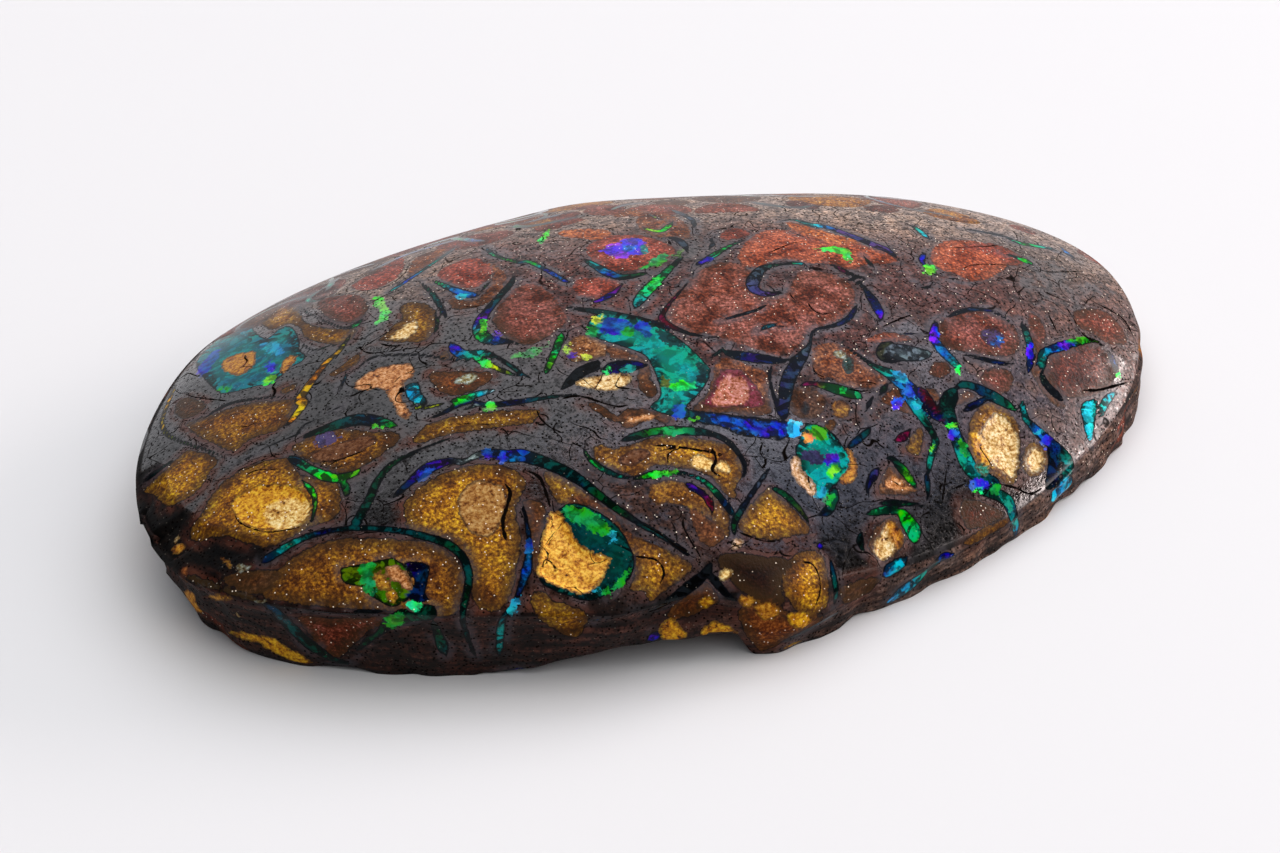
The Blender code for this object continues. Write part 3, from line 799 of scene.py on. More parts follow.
SEAMS |= {
    "far_arc": (("lime", "lime", "green", "lime"), (0.2, 0.5, 0.6, 0.6, 0.3), (640, 227), (661, 231), (674, 220)),
    "far_arc_b": (("lime", "moss"), (0.2, 0.35, 0.2), (646, 212), (655, 217), (665, 221)),
    "lens_under": (("potch", "teal", "blue", "deep_teal", "deep_green", "green"), (0.3, 0.7, 0.9, 0.8, 0.6, 0.3),
        (583, 258), (608, 273), (624, 277), (650, 272)),
    "leaf": (("slate", "deep_green", "green", "bright_green", "teal", "teal"), (0.3, 0.5, 0.7, 1.0, 0.9, 0.2),
        (684, 255), (645, 293), (634, 310)),
    "plum_arc": (("garnet", "violet", "garnet"), (0.2, 0.5, 0.6, 0.3), (580, 297), (596, 301), (612, 294),
        (623, 283)),
    "far_slate": (("slate", "slate", "potch"), (0.3, 0.6, 0.7, 0.4), (664, 237), (676, 239), (684, 245),
        (688, 254)),
    "far_slate_b": (("slate", "slate"), (0.2, 0.5, 0.5, 0.2), (668, 208), (692, 220), (694, 234)),
    "leaf_spring": (("slate", "blue", "green", "green", "slate", "slate"), (0.3, 0.6, 0.6, 0.45, 0.3, 0.2),
        (694, 267), (728, 247), (750, 238)),
    "leaf_twig": (("slate", "slate"), (0.25, 0.4, 0.2), (705, 253), (713, 244), (711, 239), (716, 232)),
    "swirl_left": (("potch", "garnet", "potch", "potch"), (0.15, 0.25, 0.3, 0.6, 0.5, 0.3, 0.15), (694, 268),
        (690, 280), (667, 307), (663, 320), (682, 331), (702, 336), (722, 337)),
    "swirl_line": (("slate", "slate"), (0.12, 0.35, 0.3, 0.12), (718, 321), (756, 310), (772, 300)),
    "crescent_top": (("slate", "teal", "turquoise", "indigo_slate", "indigo_slate", "indigo_slate", "indigo_slate"),
        (0.15, 0.35, 0.8, 0.7, 0.7, 0.8, 0.8, 0.3), (774, 221), (794, 220), (812, 225), (830, 228), (872, 244),
        (890, 252), (898, 262)),
    "crescent_line": (("slate", "slate"), (0.12, 0.25, 0.12), (784, 229), (802, 236), (818, 240)),
    "hook": (("blue", "green", "deep_green", "slate", "indigo_slate", "indigo_slate", "garnet"),
        (0.4, 0.5, 0.4, 0.7, 1.0, 0.8, 0.5, 0.2), (808, 268), (797, 263), (766, 267), (755, 277), (753, 288),
        (766, 294), (788, 291)),
    "navy_tail": (("slate", "slate", "potch", "navy", "indigo", "navy"), (0.2, 0.4, 0.45, 0.8, 0.8, 0.2),
        (840, 279), (854, 281), (866, 290), (880, 314), (878, 324)),
    "crescent_shade": (("garnet", "potch", "potch"), (0.2, 0.6, 0.5, 0.2), (828, 263), (858, 277), (873, 277)),
    "crescent_arrow": (("deep_green", "deep_green"), (0.2, 0.45, 0.2), (862, 254), (869, 262), (876, 272)),
    "long_river": (("navy", "navy", "slate", "slate", "slate", "navy_slate", "navy_slate", "navy_slate", "navy"),
        (0.4, 0.5, 0.35, 0.3, 0.3, 0.8, 1.0, 1.0, 0.8, 0.7), (857, 304), (850, 317), (836, 325), (818, 329),
        (812, 334), (808, 348), (788, 380), (783, 420)),
    "navy_lens": (("deep_green", "navy", "navy", "navy", "slate"), (0.25, 0.9, 1.0, 0.8, 0.3, 0.2), (722, 351),
        (736, 355), (772, 360), (788, 360), (799, 353)),
    "pool_link": (("slate", "teal", "slate"), (0.15, 0.35, 0.2), (706, 359), (718, 353), (728, 344)),
    "druse_right": (("potch", "potch", "navy"), (0.25, 0.3, 0.35, 0.5), (772, 364), (770, 382), (781, 418)),
    "pool_brow": (("potch", "potch", "deep_teal", "potch", "navy"), (0.2, 0.5, 0.8, 0.6, 0.5, 0.2), (560, 306),
        (645, 320), (672, 331)),
    "blue_vein": (("navy", "deep_teal", "blue", "blue", "blue", "blue", "turquoise"),
        (0.8, 0.9, 1.0, 1.1, 1.2, 1.3, 1.1), (676, 412), (756, 427), (797, 430)),
    "vein_top": (("navy", "potch", "navy"), (0.3, 0.45, 0.4, 0.2), (686, 411), (742, 418), (780, 420)),
    "vein_low": (("deep_green", "slate", "navy", "navy"), (0.2, 0.3, 0.35, 0.3, 0.15), (690, 424), (716, 424),
        (742, 434), (772, 438), (800, 447)),
    "gold_brow": (("deep_teal", "deep_green", "green", "deep_teal", "potch", "potch", "potch"),
        (0.3, 0.7, 0.7, 0.8, 0.7, 0.5, 0.5, 0.4, 0.25), (620, 441), (658, 431), (700, 432), (722, 438), (736, 450),
        (745, 466), (742, 480)),
    "gold_under": (
        ("deep_green", "green", "teal", "potch", "bright_green", "deep_green", "teal", "green", "navy", "deep_teal"),
        (0.25, 0.5, 0.5, 0.25, 0.65, 0.4, 0.35, 0.5, 0.6, 0.5), (583, 447), (590, 459), (608, 472), (632, 478),
        (656, 474), (680, 473), (700, 479), (714, 490), (735, 517)),
    "violet_arc": (("potch", "violet", "garnet", "garnet"), (0.2, 0.6, 0.5, 0.6, 0.3), (683, 482), (704, 495),
        (711, 506), (712, 515)),
    "fork_down": (("slate", "slate", "navy_slate", "deep_green", "deep_green"), (0.2, 0.3, 0.4, 0.4, 0.5, 0.5, 0.3),
        (771, 466), (737, 517), (735, 536)),
    "right_gold_top": (("deep_green", "deep_green", "moss"), (0.4, 0.6, 0.5, 0.2), (769, 486), (784, 494),
        (800, 510), (811, 526)),
    "great_river": (("potch", "navy", "deep_green", "deep_green", "potch", "deep_teal", "potch", "potch"),
        (0.4, 0.6, 0.7, 0.6, 0.5, 0.45, 0.4, 0.4), (560, 466), (622, 512), (668, 540), (690, 556)),
    "great_vein": (("potch", "navy", "navy", "blue", "navy", "navy", "teal", "navy"),
        (0.2, 0.35, 0.4, 0.7, 0.4, 0.4, 0.6, 0.45), (522, 503), (529, 538), (527, 568), (514, 604), (502, 622),
        (499, 656)),
    "teal_streak": (("teal", "turquoise", "teal"), (0.2, 0.45, 0.3, 0.1), (756, 333), (766, 327), (776, 325),
        (788, 327)),
    "broken_shade": (("potch", "deep_green", "potch"), (0.3, 0.4, 0.4, 0.2), (800, 424), (818, 427), (832, 435),
        (844, 447)),
    "broken_side": (("deep_teal", "deep_green", "navy"), (0.6, 0.8, 0.7, 0.4), (836, 487), (830, 508), (818, 516)),
}

FLASHES |= {
    "lens_violet": ("magenta", (601, 250), (609, 245), (622, 243), (630, 247), (632, 255), (620, 258), (606, 255)),
    "lens_blue": ("blue_violet", (620, 243), (630, 238), (642, 240), (648, 247), (642, 254), (630, 255)),
    "lens_teal": ("teal", (640, 247), (646, 244), (649, 250), (643, 254)),
    "leaf_lime": ("green", (641, 268), (660, 254), (668, 255), (663, 263), (650, 268)),
    "leaf_moss": ("moss", (672, 257), (680, 250), (685, 250), (679, 257)),
    "leaf_bright": ("bright_green", (652, 286), (655, 278), (661, 277), (658, 286)),
    "spring_blue": ("blue", (699, 263), (706, 257), (716, 259), (708, 263)),
    "crescent_lime": ("bright_green", (815, 250), (828, 246), (842, 247), (850, 251), (853, 257), (850, 263),
        (845, 260), (841, 254)),
    "pool_blue_top": ("blue", (600, 331), (602, 320), (615, 318), (628, 321), (634, 328), (626, 334), (612, 335)),
    "pool_blue_mid": ("blue", (634, 325), (642, 321), (650, 327), (652, 338), (643, 334)),
    "pool_lime_left": ("green", (587, 334), (588, 326), (595, 326), (599, 334), (594, 339)),
    "pool_yellow": ("yellow", (591, 322), (596, 315), (602, 315), (600, 322)),
    "pool_lime_mid": ("green", (621, 334), (626, 327), (633, 329), (632, 336)),
    "pool_bright": ("neon", (670, 387), (676, 381), (690, 381), (697, 386), (690, 391), (676, 392)),
    "pool_warm": ("moss", (659, 386), (662, 377), (668, 379), (667, 387)),
    "pool_deep": ("blue", (672, 417), (676, 405), (686, 402), (686, 412), (680, 418)),
    "pool_shade": ("deep_teal", (655, 330), (668, 332), (684, 345), (678, 348), (664, 342)),
    "pool_shade_b": ("deep_teal", (696, 362), (706, 366), (708, 378), (700, 388), (698, 375)),
    "leaf_green": ("bright_green", (605, 371), (608, 364), (615, 363), (612, 370), (606, 375)),
    "leaf_sea": ("teal", (620, 372), (626, 366), (636, 365), (630, 372)),
    "knot_lime": ("yellow", (579, 361), (583, 355), (593, 357), (588, 362)),
    "knot_edge": ("yellow", (564, 352), (565, 344), (570, 344), (570, 351)),
    "knot_violet": ("violet", (566, 358), (570, 353), (577, 354), (572, 359)),
    "brow_lime": ("green", (660, 434), (666, 428), (682, 429), (682, 434), (670, 437)),
    "under_lime": ("bright_green", (650, 477), (657, 471), (676, 471), (674, 476), (660, 477)),
    "island_green": ("green", (562, 514), (568, 507), (584, 508), (600, 517), (610, 528), (604, 535), (572, 522)),
    "island_sky": ("turquoise", (608, 542), (611, 534), (617, 532), (616, 540)),
    "island_low": ("green", (602, 594), (612, 586), (624, 573), (630, 570), (622, 584), (610, 596)),
    "island_sky_b": ("turquoise", (590, 594), (594, 588), (599, 590), (596, 596)),
    "vein_cyan": ("cyan", (786, 426), (792, 420), (800, 423), (799, 433), (794, 439), (788, 436)),
    "vein_sky": ("blue", (747, 432), (752, 425), (766, 426), (768, 433), (757, 435)),
    "vein_tip": ("bright_green", (688, 420), (693, 417), (700, 419), (696, 422)),
    "broken_green": ("green", (806, 431), (815, 426), (826, 430), (829, 438), (818, 440)),
    "broken_orange": ("orange", (802, 436), (808, 432), (814, 440), (806, 444)),
    "broken_indigo": ("indigo", (824, 462), (828, 454), (836, 454), (840, 462), (828, 466)),
    "broken_slate": ("indigo_slate", (800, 456), (808, 450), (822, 452), (824, 462), (812, 464)),
    "broken_sky": ("turquoise", (814, 497), (818, 488), (826, 486), (824, 496)),
    "broken_lime": ("bright_green", (827, 474), (830, 466), (838, 464), (840, 470), (834, 478)),
    "great_blue": ("blue", (527, 552), (526, 542), (530, 536), (533, 545), (531, 554)),
    "great_cyan": ("turquoise", (508, 612), (511, 600), (520, 596), (518, 606), (512, 614)),
}

CRACKS |= {
    "swirl_a": (0.12, (788, 291), (795, 300), (802, 304)),
    "swirl_b": (0.15, (808, 302), (812, 309), (822, 314), (832, 312)),
    "shelf": (0.22, (562, 399), (580, 396), (614, 406), (628, 405)),
    "shelf_b": (0.12, (576, 425), (592, 430), (600, 438), (612, 440)),
    "long_a": (0.14, (668, 463), (668, 455), (674, 450), (686, 448)),
    "long_b": (0.2, (654, 446), (672, 446), (722, 454)),
    "long_c": (0.25, (712, 448), (716, 460), (712, 470), (720, 476)),
    "field_a": (0.14, (684, 516), (684, 528), (700, 556)),
    "field_b": (0.14, (642, 524), (660, 534), (676, 546), (688, 552)),
    "gold_low": (0.16, (738, 532), (764, 541), (780, 540)),
    "island_a": (0.1, (540, 545), (548, 552), (546, 562)),
    "front_gold_a": (0.16, (632, 556), (656, 560), (664, 572), (660, 584)),
    "slate_a": (0.14, (764, 441), (760, 452), (766, 462), (758, 472)),
}

# %% The right and the side
NODULES |= {
    "brown_field": ("rust", (811, 362), (814, 348), (828, 342), (846, 347), (880, 372), (890, 382), (872, 388),
        (850, 388), (834, 380), (818, 376)),
    "rust_patch": ("brick", (866, 341), (880, 333), (898, 333), (915, 340), (902, 343)),
    "chip_ring": ("umber", (786, 402), (790, 391), (804, 387), (818, 391), (826, 402), (822, 414), (810, 420),
        (794, 415)),
    "brown_eye": ("amber", (831, 409), (834, 401), (844, 400), (851, 407), (848, 416), (837, 418)),
    "brown_eye_b": ("amber", (824, 424), (832, 420), (837, 426), (830, 432)),
    "violet_brown": ("rust", (882, 402), (888, 391), (898, 388), (914, 408), (912, 416)),
    "little_gold": ("gold", (905, 448), (918, 427), (924, 434), (922, 448), (917, 456)),
    "right_lens": ("brick", (930, 258), (936, 246), (952, 240), (980, 242), (1004, 250), (1012, 262), (998, 274),
        (976, 282), (956, 274), (938, 268)),
    "right_lens_b": ("red", (960, 246), (990, 243), (1015, 252), (1026, 262), (1012, 266), (990, 254)),
    "violet_eye": ("plum", (937, 328), (946, 318), (962, 312), (985, 312), (1004, 318), (1017, 331), (1020, 345),
        (1008, 357), (960, 352), (942, 344)),
    "under_eye": ("plum", (980, 378), (990, 368), (1006, 369), (1014, 378), (1010, 390), (1000, 396), (988, 390)),
    "round_plum": ("plum", (928, 371), (934, 362), (944, 361), (951, 368), (946, 377), (935, 378)),
    "wedge": ("rust", (922, 388), (936, 389), (940, 400), (932, 408), (926, 398)),
    "red_strip": ("plum", (1028, 314), (1040, 318), (1046, 334), (1044, 350), (1036, 352), (1030, 336)),
    "right_field": ("plum", (1074, 312), (1094, 308), (1112, 316), (1124, 332), (1126, 344), (1108, 344),
        (1090, 332), (1076, 326)),
    "ring_nodule": ("garnet_brown", (1042, 372), (1046, 354), (1060, 343), (1080, 338), (1100, 343), (1113, 356),
        (1118, 372), (1110, 388), (1096, 396), (1060, 398), (1048, 388)),
    "ring_rust": ("rust", (1030, 368), (1034, 354), (1041, 350), (1043, 368), (1052, 388), (1066, 404), (1058, 408),
        (1042, 392)),
    "twin_small": ("rust", (953, 399), (960, 392), (970, 391), (977, 396), (958, 407)),
    "pale_body": ("gold", (968, 430), (974, 412), (986, 402), (1000, 404), (1012, 414), (1020, 430), (1020, 460),
        (1018, 480), (1008, 486), (994, 478), (978, 470), (968, 456)),
    "small_body": ("gold", (1022, 458), (1026, 446), (1034, 442), (1044, 448), (1049, 460), (1044, 472),
        (1032, 478), (1024, 472)),
    "wall_plum": ("garnet_brown", (960, 504), (970, 498), (998, 508), (1004, 518), (972, 530), (962, 520)),
    "wall_copper": ("rust_gold", (962, 544), (972, 534), (1004, 518), (1010, 522), (974, 544)),
    "triangle_body": ("rust", (878, 488), (882, 474), (892, 466), (912, 482), (920, 491), (900, 496), (882, 495)),
    "cream_body": ("rust", (868, 548), (873, 530), (884, 519), (896, 518), (904, 530), (904, 546), (886, 562)),
    "knob_gold": ("gold", (782, 588), (782, 570), (790, 557), (804, 550), (818, 552), (827, 564), (829, 598),
        (822, 612), (806, 618), (792, 608)),
}

POOLS |= {
    "grey_pool": ("slate_glass", (884, 350), (894, 343), (928, 350), (930, 358), (914, 362), (896, 360)),
    "turquoise_leaf": ("cyan_teal", (1080, 408), (1088, 400), (1097, 402), (1093, 438), (1088, 442)),
    "turquoise_leaf_b": ("cyan_teal", (1100, 402), (1108, 393), (1118, 392), (1110, 404), (1101, 420)),
    "cream_green": ("green", (896, 512), (904, 509), (916, 520), (922, 532), (916, 544), (908, 538)),
}

CORES |= {
    "glass_eye": ("deep_teal", (841, 362), (846, 355), (854, 360), (854, 370), (847, 374)),
    "glass_grey": ("grey_glass", (832, 354), (838, 350), (846, 354), (842, 360)),
    "violet_heart": ("deep_violet", (980, 336), (986, 329), (996, 329), (1004, 336), (1002, 344), (994, 348)),
    "chip_black": ("potch", (801, 404), (806, 401), (811, 408), (808, 416), (802, 414)),
    "pale_pocket": ("cream", (976, 440), (996, 412), (1018, 434), (1016, 476), (1004, 474), (992, 462), (982, 454)),
    "pale_amber": ("gold", (970, 434), (978, 432), (992, 464), (984, 466), (974, 454)),
    "pale_glass": ("teal", (975, 465), (984, 464), (990, 468), (988, 476), (980, 474)),
    "small_pocket": ("cream", (1025, 460), (1029, 450), (1038, 447), (1045, 456), (1042, 468), (1032, 473)),
    "triangle": ("peach", (881, 489), (886, 479), (893, 474), (903, 480), (916, 491)),
    "cream_egg": ("cream", (872, 546), (880, 534), (884, 524), (892, 524), (896, 550), (888, 559), (880, 560)),
    "bronze_egg": ("rust_gold", (886, 524), (894, 522), (902, 532), (902, 544), (897, 550)),
}

SEAMS |= {
    "navy_crest": (("potch", "potch", "deep_green", "teal", "blue", "navy", "navy", "navy"),
        (0.2, 0.35, 0.5, 1.0, 1.3, 1.4, 1.1, 0.7), (842, 344), (874, 366), (890, 374), (906, 386), (930, 410),
        (944, 420)),
    "teal_tail": (("indigo", "blue", "teal", "deep_teal", "deep_green", "teal", "teal", "deep_green"),
        (1.0, 0.9, 0.9, 0.7, 0.6, 0.6, 0.5, 0.3), (902, 388), (933, 434), (934, 446), (930, 460), (928, 476)),
    "tail_shade": (("potch", "garnet", "navy"), (0.5, 1.0, 0.8, 0.4), (920, 386), (926, 398), (944, 424)),
    "down_crack": (("navy", "deep_teal", "potch"), (0.3, 0.5, 0.4, 0.2), (926, 470), (928, 492), (926, 502)),
    "far_blue": (("green", "teal", "turquoise", "blue"), (0.2, 0.5, 0.6, 0.3), (906, 224), (916, 228), (931, 241)),
    "indigo_knot": (("navy_slate", "indigo", "navy", "navy"), (0.3, 0.6, 0.4, 0.7, 0.7), (927, 250), (922, 262),
        (938, 276)),
    "knot_right": (("potch", "potch"), (0.4, 0.25, 0.12), (938, 276), (956, 279), (972, 283)),
    "knot_left": (("potch", "deep_green", "potch"), (0.2, 0.3, 0.3), (914, 282), (924, 288), (938, 282)),
    "far_green_a": (("teal", "green", "teal", "slate"), (0.4, 0.7, 0.6, 0.5, 0.2), (1007, 238), (1020, 243),
        (1052, 249), (1062, 254)),
    "far_green_b": (("slate", "teal", "green", "teal"), (0.2, 0.4, 0.8, 0.4), (1000, 252), (1026, 261),
        (1036, 267)),
    "far_blue_b": (("blue", "blue", "indigo_slate"), (0.5, 0.7, 0.4), (1060, 246), (1067, 253), (1077, 260)),
    "far_slate_c": (("slate", "slate", "navy_slate"), (0.2, 0.4, 0.5, 0.2), (960, 228), (1004, 236), (1014, 240)),
    "eye_top": (("slate", "potch", "navy", "navy", "deep_green", "potch"), (0.3, 0.45, 0.45, 0.4, 0.35, 0.15),
        (946, 318), (962, 311), (980, 309), (996, 313), (1008, 321), (1016, 334)),
    "eye_under": (("potch", "potch", "navy", "navy"), (0.15, 0.3, 0.5, 0.45, 0.2), (957, 353), (1006, 364),
        (1016, 362)),
    "eye_right": (("slate", "deep_teal", "teal", "indigo", "indigo", "navy"), (0.3, 0.6, 0.7, 0.6, 0.6, 0.3),
        (1021, 320), (1029, 342), (1030, 362), (1027, 374)),
    "eye_left": (("potch", "indigo", "blue", "blue", "teal", "green"), (0.2, 0.7, 0.8, 0.9, 0.8, 0.5), (937, 318),
        (934, 336), (940, 348), (957, 366), (958, 374)),
    "ring_top": (("deep_green", "teal", "blue", "blue", "green", "moss", "potch"),
        (0.8, 0.8, 0.7, 0.8, 0.7, 0.6, 0.4, 0.4), (1042, 372), (1042, 358), (1050, 350), (1090, 340), (1106, 349)),
    "ring_right": (("potch", "navy", "blue", "deep_teal", "bright_green"), (0.4, 0.6, 0.7, 0.6, 0.6), (1106, 349),
        (1112, 358), (1118, 376)),
    "ring_left": (("deep_green", "potch", "potch", "potch"), (0.8, 0.7, 0.8, 0.4), (1042, 372), (1046, 384),
        (1064, 402)),
    "pale_brow": (("deep_teal", "deep_teal", "navy", "deep_teal", "deep_green", "green"),
        (0.6, 0.7, 0.9, 1.0, 0.8, 0.4), (956, 386), (972, 386), (1010, 406), (1016, 414)),
    "pale_left": (("deep_teal", "deep_green", "deep_teal", "navy", "teal", "teal", "deep_teal", "navy"),
        (0.9, 1.2, 1.2, 1.0, 1.2, 1.3, 1.2, 1.2, 1.0), (956, 388), (949, 400), (948, 414), (968, 464), (980, 476),
        (1000, 486)),
    "pale_foot": (("navy", "deep_green", "teal", "navy", "teal", "blue"), (1.1, 1.2, 1.0, 1.1, 0.9, 0.8, 0.6),
        (976, 484), (1002, 497), (1010, 506), (1016, 528), (1014, 538)),
    "right_river": (("deep_teal", "teal", "deep_teal", "blue", "blue", "deep_teal", "teal", "deep_teal"),
        (0.5, 0.6, 0.7, 0.9, 1.0, 1.1, 1.0, 0.8), (1022, 398), (1024, 412), (1030, 424), (1062, 454), (1068, 464),
        (1064, 478)),
    "right_river_b": (("deep_teal", "navy", "navy", "deep_teal"), (0.5, 0.9, 1.1, 0.6), (1048, 446), (1054, 462),
        (1052, 478), (1046, 490)),
    "triangle_top": (("potch", "deep_green", "green", "deep_teal"), (0.3, 0.6, 0.8, 0.6, 0.3), (884, 458),
        (896, 462), (918, 490)),
    "triangle_left": (("indigo_slate", "navy", "potch"), (0.3, 0.7, 0.4, 0.3), (880, 466), (868, 486), (869, 498)),
    "triangle_low": (("potch", "deep_green", "potch"), (0.2, 0.5, 0.4, 0.2), (878, 502), (914, 504), (926, 508)),
    "egg_top": (("deep_teal", "green", "deep_teal", "green"), (0.5, 0.6, 0.7, 0.6), (866, 514), (890, 510),
        (902, 514)),
    "egg_left": (("deep_teal", "potch", "deep_green"), (0.4, 0.6, 0.5), (862, 530), (860, 542), (864, 552)),
    "egg_foot": (("blue", "turquoise", "blue"), (0.4, 1.0, 0.8, 0.4), (882, 576), (902, 562), (908, 556)),
    "side_cyan": (("turquoise", "turquoise", "teal", "deep_teal", "blue"), (0.6, 1.0, 0.9, 0.6, 0.5, 0.3),
        (886, 604), (912, 584), (938, 562), (956, 556)),
    "side_blue": (("blue", "blue"), (0.3, 0.6, 0.3), (934, 560), (946, 556), (956, 554)),
    "side_cyan_b": (("cyan", "turquoise", "blue"), (1.2, 1.6, 0.8), (1052, 500), (1062, 490), (1072, 478)),
    "side_slate": (("slate", "slate", "slate"), (0.2, 0.4, 0.4, 0.2), (786, 640), (804, 632), (842, 610)),
    "side_gold": (("gold", "gold"), (0.2, 0.4, 0.2), (782, 650), (792, 645), (804, 640)),
    "side_blue_mid": (("blue", "blue"), (0.2, 0.4, 0.2), (590, 622), (597, 620), (604, 618)),
    "knob_side": (("navy", "deep_teal", "deep_teal"), (0.2, 0.5, 0.5, 0.3), (830, 558), (836, 590), (834, 606)),
    "knob_top": (("violet", "indigo"), (0.3, 0.6, 0.3), (812, 542), (820, 546), (828, 550)),
    "notch": (("deep_green", "deep_green"), (0.3, 0.6, 0.3), (889, 382), (884, 389), (878, 397)),
    "notch_b": (("potch", "potch"), (0.3, 0.4, 0.2), (874, 395), (868, 406), (864, 414)),
    "mini_ring": (("potch", "deep_teal", "navy", "deep_teal"), (0.3, 0.5, 0.6, 0.5, 0.3), (868, 422), (868, 431),
        (845, 450)),
    "olive_brow": (("moss_dark", "moss_dark", "potch", "potch"), (0.3, 0.7, 0.7, 0.3, 0.2), (894, 341), (884, 346),
        (882, 357), (906, 366)),
    "green_leaf": (("garnet", "garnet", "green", "green", "deep_green"), (0.3, 0.5, 0.9, 1.0, 0.3), (800, 386),
        (816, 384), (864, 397)),
    "blue_glass": (("indigo_slate", "potch"), (0.3, 0.2), (900, 334), (914, 334), (930, 337)),
    "plum_dark": (("garnet", "garnet"), (0.3, 0.7, 0.3), (892, 441), (902, 438), (912, 428)),
    "pale_shade": (("potch", "navy"), (0.3, 0.6, 0.5, 0.3), (962, 412), (984, 400), (992, 400)),
}

FLASHES |= {
    "knot_lime_b": ("bright_green", (923, 271), (925, 265), (933, 264), (937, 270), (932, 275), (926, 275)),
    "violet_bright": ("violet_bright", (891, 408), (893, 401), (900, 397), (906, 400), (897, 410)),
    "crest_cyan": ("turquoise", (894, 379), (896, 372), (904, 374), (910, 381), (904, 384)),
    "crest_indigo": ("indigo", (901, 388), (908, 384), (913, 391), (912, 399), (905, 395)),
    "tail_teal": ("turquoise", (912, 406), (914, 399), (922, 401), (922, 409)),
    "tail_lime_c": ("bright_green", (928, 452), (930, 442), (934, 442), (932, 454)),
    "eye_indigo": ("violet_bright", (930, 340), (931, 333), (938, 331), (940, 337), (936, 342)),
    "eye_blue": ("blue", (991, 344), (994, 338), (1001, 337), (1003, 343), (997, 347)),
    "eye_violet": ("violet_bright", (1027, 354), (1029, 344), (1034, 346), (1033, 357), (1029, 361)),
    "eye_lime": ("neon", (954, 371), (957, 365), (961, 369), (959, 375)),
    "stream_lime": ("bright_green", (946, 427), (949, 422), (957, 423), (955, 428)),
    "stream_blue": ("indigo", (949, 437), (951, 430), (958, 431), (958, 438)),
    "stream_green": ("green", (957, 448), (959, 440), (967, 447), (970, 458), (964, 457)),
    "foot_navy": ("indigo", (966, 486), (972, 478), (986, 480), (990, 487), (978, 490)),
    "foot_lime": ("neon", (974, 491), (978, 488), (983, 490), (979, 494)),
    "foot_green": ("green", (990, 492), (993, 484), (1000, 486), (1000, 494)),
    "foot_sea": ("teal", (1004, 504), (1008, 500), (1013, 507), (1011, 512)),
    "river_blue": ("indigo", (1040, 444), (1043, 436), (1050, 437), (1052, 444), (1045, 448)),
    "river_sky": ("turquoise", (1034, 434), (1038, 430), (1044, 432), (1040, 437)),
    "ring_blue": ("indigo", (1056, 348), (1062, 343), (1074, 343), (1070, 349)),
    "ring_lime": ("green", (1068, 341), (1076, 338), (1088, 338), (1084, 343)),
    "ring_end": ("neon", (1115, 374), (1118, 369), (1121, 374), (1119, 379)),
    "side_lime": ("green", (824, 502), (828, 494), (834, 496), (832, 506)),
    "leaf_sea_b": ("cyan", (1083, 410), (1088, 402), (1094, 404), (1092, 424), (1088, 434)),
}

CRACKS |= {
    "brow_line": (0.14, (812, 362), (815, 372), (824, 377)),
    "field_lines": (0.14, (856, 383), (866, 382), (876, 384)),
    "field_lines_b": (0.14, (848, 389), (860, 391), (872, 390)),
    "thin_far": (0.14, (882, 327), (902, 318), (912, 315)),
    "lens_line": (0.12, (961, 271), (972, 265), (1004, 265), (1010, 270)),
    "lens_line_c": (0.14, (950, 248), (990, 246), (1002, 244)),
    "right_line": (0.14, (1036, 268), (1050, 272), (1084, 271)),
    "strip_a": (0.2, (1048, 313), (1052, 322), (1058, 334)),
    "field_c": (0.2, (1098, 304), (1122, 318), (1134, 338)),
    "field_d": (0.2, (1076, 328), (1088, 338), (1100, 344)),
    "field_e": (0.14, (1064, 304), (1072, 316), (1080, 330)),
    "slate_b": (0.14, (947, 466), (945, 482), (942, 502)),
    "slate_c": (0.12, (950, 490), (960, 486), (968, 482)),
    "foot_line": (0.2, (1000, 484), (1016, 488), (1030, 494), (1042, 488)),
    "pale_b": (0.14, (978, 440), (984, 452), (992, 466)),
    "triangle_crack": (0.1, (893, 480), (900, 485), (908, 488)),
    "knob_crack": (0.14, (800, 562), (812, 564), (819, 576), (820, 592), (816, 604)),
    "far_a": (0.1, (806, 241), (790, 244), (766, 254)),
    "far_d": (0.12, (948, 220), (970, 222), (992, 222)),
    "far_e": (0.12, (880, 222), (900, 222), (916, 220)),
    "ring_crack": (0.25, (1082, 390), (1098, 390), (1128, 382)),
}

# %% Marks at the front and on the front wall, where nodules and seams run on over the girdle
NODULES |= {
    "front_ember": ("ember", (716, 558), (736, 552), (760, 556), (785, 558), (796, 562), (784, 576), (783, 592),
        (786, 603), (766, 604), (736, 588)),
    "foot_rust": ("rust", (742, 606), (756, 600), (775, 603), (790, 612), (808, 616), (824, 616), (814, 628),
        (796, 634), (768, 650), (756, 649), (738, 620)),
    "edge_rust": ("rust", (664, 615), (692, 590), (706, 582), (716, 590), (720, 602), (704, 610), (684, 619)),
    "side_plum": ("plum", (298, 616), (330, 618), (360, 617), (384, 617), (380, 628), (366, 634), (340, 658),
        (322, 650), (306, 632)),
    "side_umber": ("umber", (842, 586), (880, 576), (873, 590), (856, 600), (843, 603)),
    "nose_umber": ("umber", (220, 578), (262, 568), (280, 575), (268, 590), (250, 595)),
    # The slate-blue band on the broken left end is painted sheen, where a facet catches the light.
    "nose_lit_facet": ("slate", (186, 574), (212, 580), (230, 588), (262, 599), (252, 602), (220, 592), (192, 584)),
}
